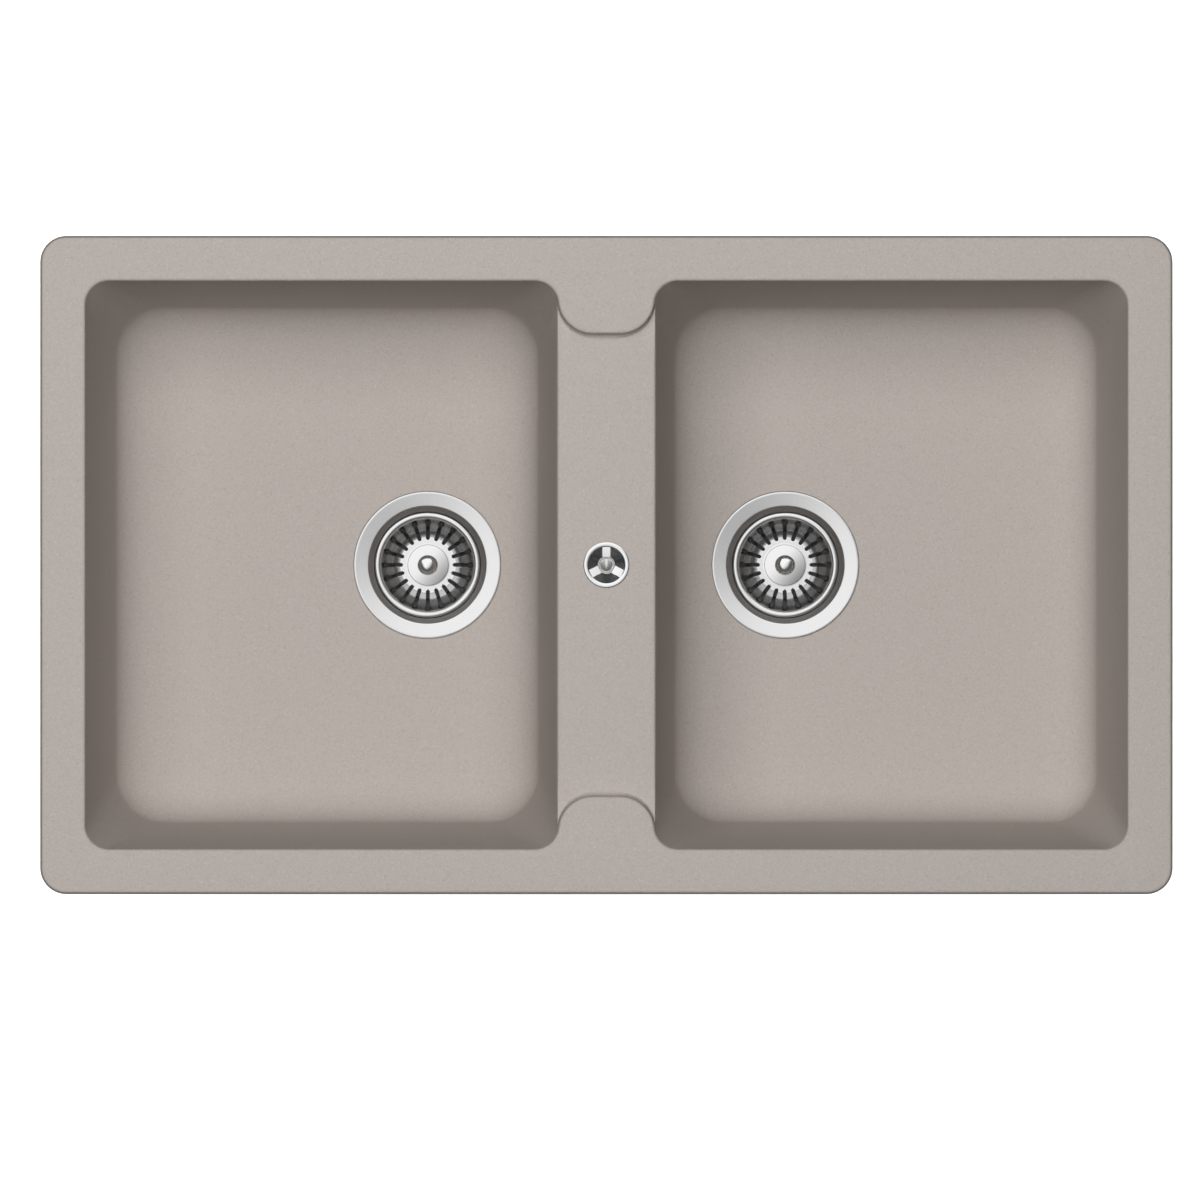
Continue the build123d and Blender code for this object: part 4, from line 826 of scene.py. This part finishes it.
def machined_steel(dulled_above):
    """Stainless bar as machined: satin, with a faint mottle, and duller above a height."""
    material, tree = finish("machined_stainless_steel")
    place = add(tree, "ShaderNodeTexCoord")
    spot = add(tree, "ShaderNodeSeparateXYZ", Vector=place.outputs["Object"])
    darker_duller = add(tree, "ShaderNodeMath", {"operation": "GREATER_THAN"}, _0=spot.outputs["Z"],
                 _1=dulled_above)
    colour = add(tree, "ShaderNodeMix", COLOURS, _0=darker_duller, _6=linear("#E8E7E4"),
                 _7=linear("#DADAD8"))
    mottle = add(tree, "ShaderNodeTexNoise", Vector=place.outputs["Object"],
                 Scale=MOTTLES_PER_METRE, Detail=4.0)
    rough = add(tree, "ShaderNodeMath", {"operation": "MULTIPLY_ADD"}, _0=mottle.outputs["Fac"],
                _1=0.14, _2=0.16)
    rough = add(tree, "ShaderNodeMath", {"operation": "MULTIPLY_ADD"}, _0=darker_duller, _1=0.3, _2=rough)
    bump = add(tree, "ShaderNodeBump", Height=mottle.outputs["Fac"], Strength=0.05, Distance=0.0001)
    skin = add(tree, "ShaderNodeBsdfPrincipled", Base_Color=colour.outputs[2], Metallic=1.0,
               Roughness=rough, Normal=bump)
    add(tree, "ShaderNodeOutputMaterial", Surface=skin)
    return material


screw_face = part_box("overflow_screw")[1].z - SLOT_FLOOR
dress([f"{kind}_{side}" for kind in ("basket_stem", "seal_washer", "centre_bolt") for side in SIDES]
      + ["overflow_screw"], machined_steel(screw_face))

# ---- stopper seals -------------------------------------------------------------------------
# A moulded rubber disc under each basket closes the waste when the basket is pressed down. Its edge
# is a rounded lip, and its underside has two rings that find the seat.


def stopper_profile():
    """The disc's section from the stem under and round the lip and back on top, in millimetres.

    Its ribs follow a cosine of the radius, one every 6.2 mm.
    """
    under = np.linspace(5, 23.5, 38)
    ribs = 0.22 * np.cos(2 * math.pi * (under - 5) / 6.2)
    return np.concatenate([
        [[2.9, 3.9], [2.9, 0.35]], np.stack([under, 0.3 - ribs * (under > 8)], 1),
        arc(25.4, 1.6, 1.6, -90, 0, 7), arc(25.6, 2.9, 1.1, 20, 90, 7), [[20, 4.0], [4, 4.0]]])


for side in SIDES:
    place = (middles[side], 0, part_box(f"stopper_seal_{side}")[0].z)
    stopper = mesh_piece(f"stopper_{side}", turned(stopper_profile(), place), f"basket_{side}",
                         rubber, closed_rows=True)
    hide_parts(f"stopper_seal_{side}")

# ---- centre nuts ---------------------------------------------------------------------------
# Hexagon nuts of free-cutting brass under the spider of each waste body. They are turned from bar,
# and the brass has dulled a little since.

PATCHES_PER_METRE = 220.0


def brass():
    """Machined brass, a little dulled, with warmer and greener patches."""
    material, tree = finish("machined_brass")
    place = add(tree, "ShaderNodeTexCoord")
    patch = add(tree, "ShaderNodeTexNoise", Vector=place.outputs["Object"],
                Scale=PATCHES_PER_METRE, Detail=4.0)
    colour = add(tree, "ShaderNodeMix", COLOURS, _0=patch.outputs["Fac"], _6=linear("#C79E54"),
                 _7=linear("#DDBF80"))
    rough = add(tree, "ShaderNodeMath", {"operation": "MULTIPLY_ADD"}, _0=patch.outputs["Fac"],
                _1=0.2, _2=0.2)
    skin = add(tree, "ShaderNodeBsdfPrincipled", Base_Color=colour.outputs[2], Metallic=1.0,
               Roughness=rough)
    add(tree, "ShaderNodeOutputMaterial", Surface=skin)
    return material


dress([f"centre_nut_{side}" for side in SIDES], brass())

# ---- waste bodies, pipes and union nuts ----------------------------------------------------
# Injection-moulded polypropylene: black bodies under the bowls, white pipes, tee and ribbed union
# nuts. The threads that the nuts run on are moulded with the spigots.

THREAD_R = 0.0239
THREAD_PITCH = 0.0025
THREAD_CREST = 0.0009
THREAD_STEPS = 64
THREAD_IN_NUT = 0.003
THREAD_TOP = 0.0235
TEE_THREAD = (0.022, 0.008)

black_moulding = moulded_plastic("black_moulded_polypropylene", "#232426", "#2E2F31", 0.38)
white_moulding = moulded_plastic("white_moulded_polypropylene", "#E4E4DF", "#EDEDE9", 0.36)
dress([f"waste_body_{side}" for side in SIDES], black_moulding)
dress([f"{kind}_{side}" for kind in ("waste_nut", "tee_nut", "outlet_elbow") for side in SIDES]
      + ["outlet_tee"], white_moulding)

tee_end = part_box("outlet_tee")[1].x
for side in SIDES:
    thread_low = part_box(f"waste_nut_{side}")[1].z - THREAD_IN_NUT
    thread_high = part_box(f"waste_body_{side}")[0].z + THREAD_TOP
    spigot = helix_ridge(THREAD_R, THREAD_CREST, THREAD_PITCH, thread_low, thread_high,
                         THREAD_STEPS)
    spigot = mesh_piece(f"waste_thread_{side}", spigot + (middles[side], 0, 0), "root",
                        black_moulding)
    sign = math.copysign(1, middles[side])
    nut_low, nut_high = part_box(f"tee_nut_{side}")
    pipe_z = (nut_low.z + nut_high.z) / 2
    socket = helix_ridge(THREAD_R, THREAD_CREST, THREAD_PITCH, tee_end - TEE_THREAD[0],
                         tee_end - TEE_THREAD[1], THREAD_STEPS)
    socket = np.stack([sign * socket[..., 2], socket[..., 1], socket[..., 0] + pipe_z], -1)
    socket = mesh_piece(f"tee_thread_{side}", socket, "root", white_moulding)

# ---- overflow rose -------------------------------------------------------------------------
# A chromium plated ring let into the divider, cast in one with three flat spokes and with a small
# cup for the slotted screw that draws it down.

ROSE_SPOKE = 6.5


def rose_ring():
    """The ring's section, in millimetres from its top: two quarter ellipses and a thin skirt."""
    turn = np.radians(np.linspace(0, 90, 6))
    outer = np.stack([16.6 + 0.9 * np.cos(turn), -0.6 + 0.6 * np.sin(turn)], 1)
    inner = np.stack([14.7 - 1.0 * np.cos(turn), -0.9 + 0.9 * np.sin(turn)], 1)[::-1]
    skirt = [[13.5, -1.6], [13.5, -8], [14.3, -8], [14.3, -1.4]]
    return np.concatenate([[[17.5, -1.4]], outer, inner, skirt])


def rose_cup():
    """The cup's section: a rounded lip, a wall that slopes in, and a floor for the screw's head."""
    return np.array([[6.9, -5.0], [6.9, -1.2], [6.75, -1.0], [6.5, -1.2], [6.2, -1.9], [5.9, -2.6],
                     [5.6, -3.2], [5.2, -3.6], [2.7, -3.6], [2.7, -5.0]])


def rose_spoke(angle):
    """One flat bar from the cup's lip into the ring, its section carried along its length.

    The section is a rectangle with its corners cut, and each end shrinks to a point to close it.
    """
    half, low, high, cut = ROSE_SPOKE / 2, -2.2, -0.8, 0.25
    side = np.array([half, half, half - cut, cut - half, -half, -half])
    height = np.array([low, high - cut, high, high, high - cut, low])
    along = np.array([6.3, 6.3, 6.5, 13.9, 13.9])
    grow = np.array([0, 0.98, 1, 1, 0])[:, None]
    across, up = side * grow, (low + high) / 2 + (height - (low + high) / 2) * grow
    forward = np.broadcast_to(along[:, None], across.shape)
    return np.stack([forward * math.cos(angle) - across * math.sin(angle),
                     forward * math.sin(angle) + across * math.cos(angle), up], -1)


rose_top = np.array((0, 0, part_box("overflow_rose")[1].z))
ring = mesh_piece("rose_ring", turned(rose_ring(), rose_top), "root", chrome, closed_rows=True)
cup = mesh_piece("rose_cup", turned(rose_cup(), rose_top, columns=64), "root", chrome,
                 closed_rows=True)
spokes = [mesh_piece(f"rose_spoke_{number}", rose_spoke(math.radians(angle)) / 1000 + rose_top,
                     "root", chrome)
          for number, angle in enumerate((90, 210, 330), start=1)]
for piece in (ring, cup, *spokes):
    piece.data.set_sharp_from_angle(angle=math.radians(35))
    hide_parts("overflow_rose")

# ---- overflow body -------------------------------------------------------------------------
# A cup moulded in dark grey polypropylene, held against the divider's underside by the rose's
# screw. Its floor, which shows between the spokes, is painted pale in patches as painted light.

# Patch size and depth of the painted light on the cup's floor.
PAINTED_LIGHT_PATCH = 0.004
PAINTED_LIGHT_DEPTH = 0.018


def painted_light_polypropylene():
    """Dark grey plastic whose upward faces below the webs are painted pale: painted light on the
    floor.
    """
    material, tree = finish("dark_grey_polypropylene_painted_light")
    place = add(tree, "ShaderNodeTexCoord")
    spot = add(tree, "ShaderNodeSeparateXYZ", Vector=place.outputs["Object"])
    face = add(tree, "ShaderNodeNewGeometry")
    normal = add(tree, "ShaderNodeSeparateXYZ", Vector=face.outputs["Normal"])
    upward = add(tree, "ShaderNodeMath", {"operation": "GREATER_THAN"}, _0=normal.outputs["Z"],
                 _1=0.3)
    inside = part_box("overflow_body")[1].z - PAINTED_LIGHT_DEPTH
    deep = add(tree, "ShaderNodeMath", {"operation": "LESS_THAN"}, _0=spot.outputs["Z"], _1=inside)
    painted_light_mask = add(tree, "ShaderNodeMath", {"operation": "MULTIPLY"}, _0=upward, _1=deep)
    patch = add(tree, "ShaderNodeTexNoise", Vector=place.outputs["Object"], Scale=1 / PAINTED_LIGHT_PATCH,
                Detail=3.0)
    painted_light_colour = add(tree, "ShaderNodeMix", COLOURS, _0=patch.outputs["Fac"], _6=linear("#A8AAAA"),
               _7=linear("#C2C3C2"))
    # Upward faces deep in the cup are painted pale: painted light.
    colour = add(tree, "ShaderNodeMix", COLOURS, _0=painted_light_mask, _6=linear("#56585A"), _7=painted_light_colour.outputs[2])
    bump = add(tree, "ShaderNodeBump", Height=patch.outputs["Fac"], Strength=0.2, Distance=0.0001)
    skin = add(tree, "ShaderNodeBsdfPrincipled", Base_Color=colour.outputs[2], Roughness=0.45,
               IOR=1.49, Normal=bump)
    add(tree, "ShaderNodeOutputMaterial", Surface=skin)
    return material


dress(["overflow_body"], painted_light_polypropylene())

# ---- overflow hose and its clips -----------------------------------------------------------
# A ribbed hose blown from grey polypropylene leads from the overflow body down to the left waste,
# pushed over a barb at each end and held there by a zinc plated worm-drive clip.

HOSE_CUFF = 0.024
HOSE_RIBS = 24
HOSE_RIB_STEPS = 10
HOSE_RIB = 0.0016
HOSE_BORE = 0.0099
HOSE_BEND = 0.048
HOSE_BEVEL = 0.0004
HOSE_COLUMNS = 48


def ribbed_hose():
    """A tube along a drop, a quarter turn and a level run, its radius waving once for each rib.

    At a length s the centre is straight below the start, then on the quarter circle at the angle
    s / bend radius, then on the level run. A rib's height is a raised cosine to the power 0.6,
    which gives it a broad crest, and the bore is carried back inside to close the wall.
    """
    low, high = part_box("overflow_hose")
    crest = high.x
    inlet_z = low.z + crest
    drop = high.z - inlet_z - HOSE_BEND
    turn = HOSE_BEND * math.pi / 2
    length = drop + turn + (-HOSE_BEND - low.x)
    ribbed = np.linspace(HOSE_CUFF, length - HOSE_CUFF, HOSE_RIBS * HOSE_RIB_STEPS + 1)
    run = np.concatenate([[0, HOSE_BEVEL], straight((HOSE_BEVEL,), (HOSE_CUFF,), 3)[:, 0], ribbed,
                          straight((length - HOSE_CUFF,), (length - HOSE_BEVEL,), 3)[:, 0],
                          [length - HOSE_BEVEL, length]])
    share = np.clip((run - HOSE_CUFF) / (length - 2 * HOSE_CUFF), 0, 1)
    wave = np.clip(0.5 - 0.5 * np.cos(2 * math.pi * HOSE_RIBS * share), 0, 1) ** 0.6
    valley = crest - HOSE_RIB
    radius = valley + HOSE_RIB * wave
    radius[[0, -1]] -= HOSE_BEVEL
    run = np.concatenate([run, run[::-1]])
    radius = np.concatenate([radius, np.full(len(radius), HOSE_BORE)])
    angle = np.clip(run - drop, 0, turn) / HOSE_BEND
    over = np.clip(run - drop - turn, 0, None)
    centre = np.stack([-HOSE_BEND * (1 - np.cos(angle)) - over, np.zeros_like(run),
                       high.z - np.minimum(run, drop) - HOSE_BEND * np.sin(angle)], 1)
    outward = np.stack([np.cos(angle), np.zeros_like(run), -np.sin(angle)], 1)
    round_angle = np.linspace(0, 2 * math.pi, HOSE_COLUMNS, endpoint=False)
    ring = outward[:, None, :] * np.cos(round_angle)[None, :, None]
    ring = ring + np.array([0, 1, 0]) * np.sin(round_angle)[None, :, None]
    return centre[:, None, :] + radius[:, None, None] * ring


hose_plastic = moulded_plastic("grey_blown_polypropylene", "#96999B", "#A4A7A8", 0.42)
hose = mesh_piece("ribbed_hose", ribbed_hose(), "root", hose_plastic, closed_rows=True)
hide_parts("overflow_hose")
dress(["hose_clip_top", "hose_clip_bottom"], zinc)
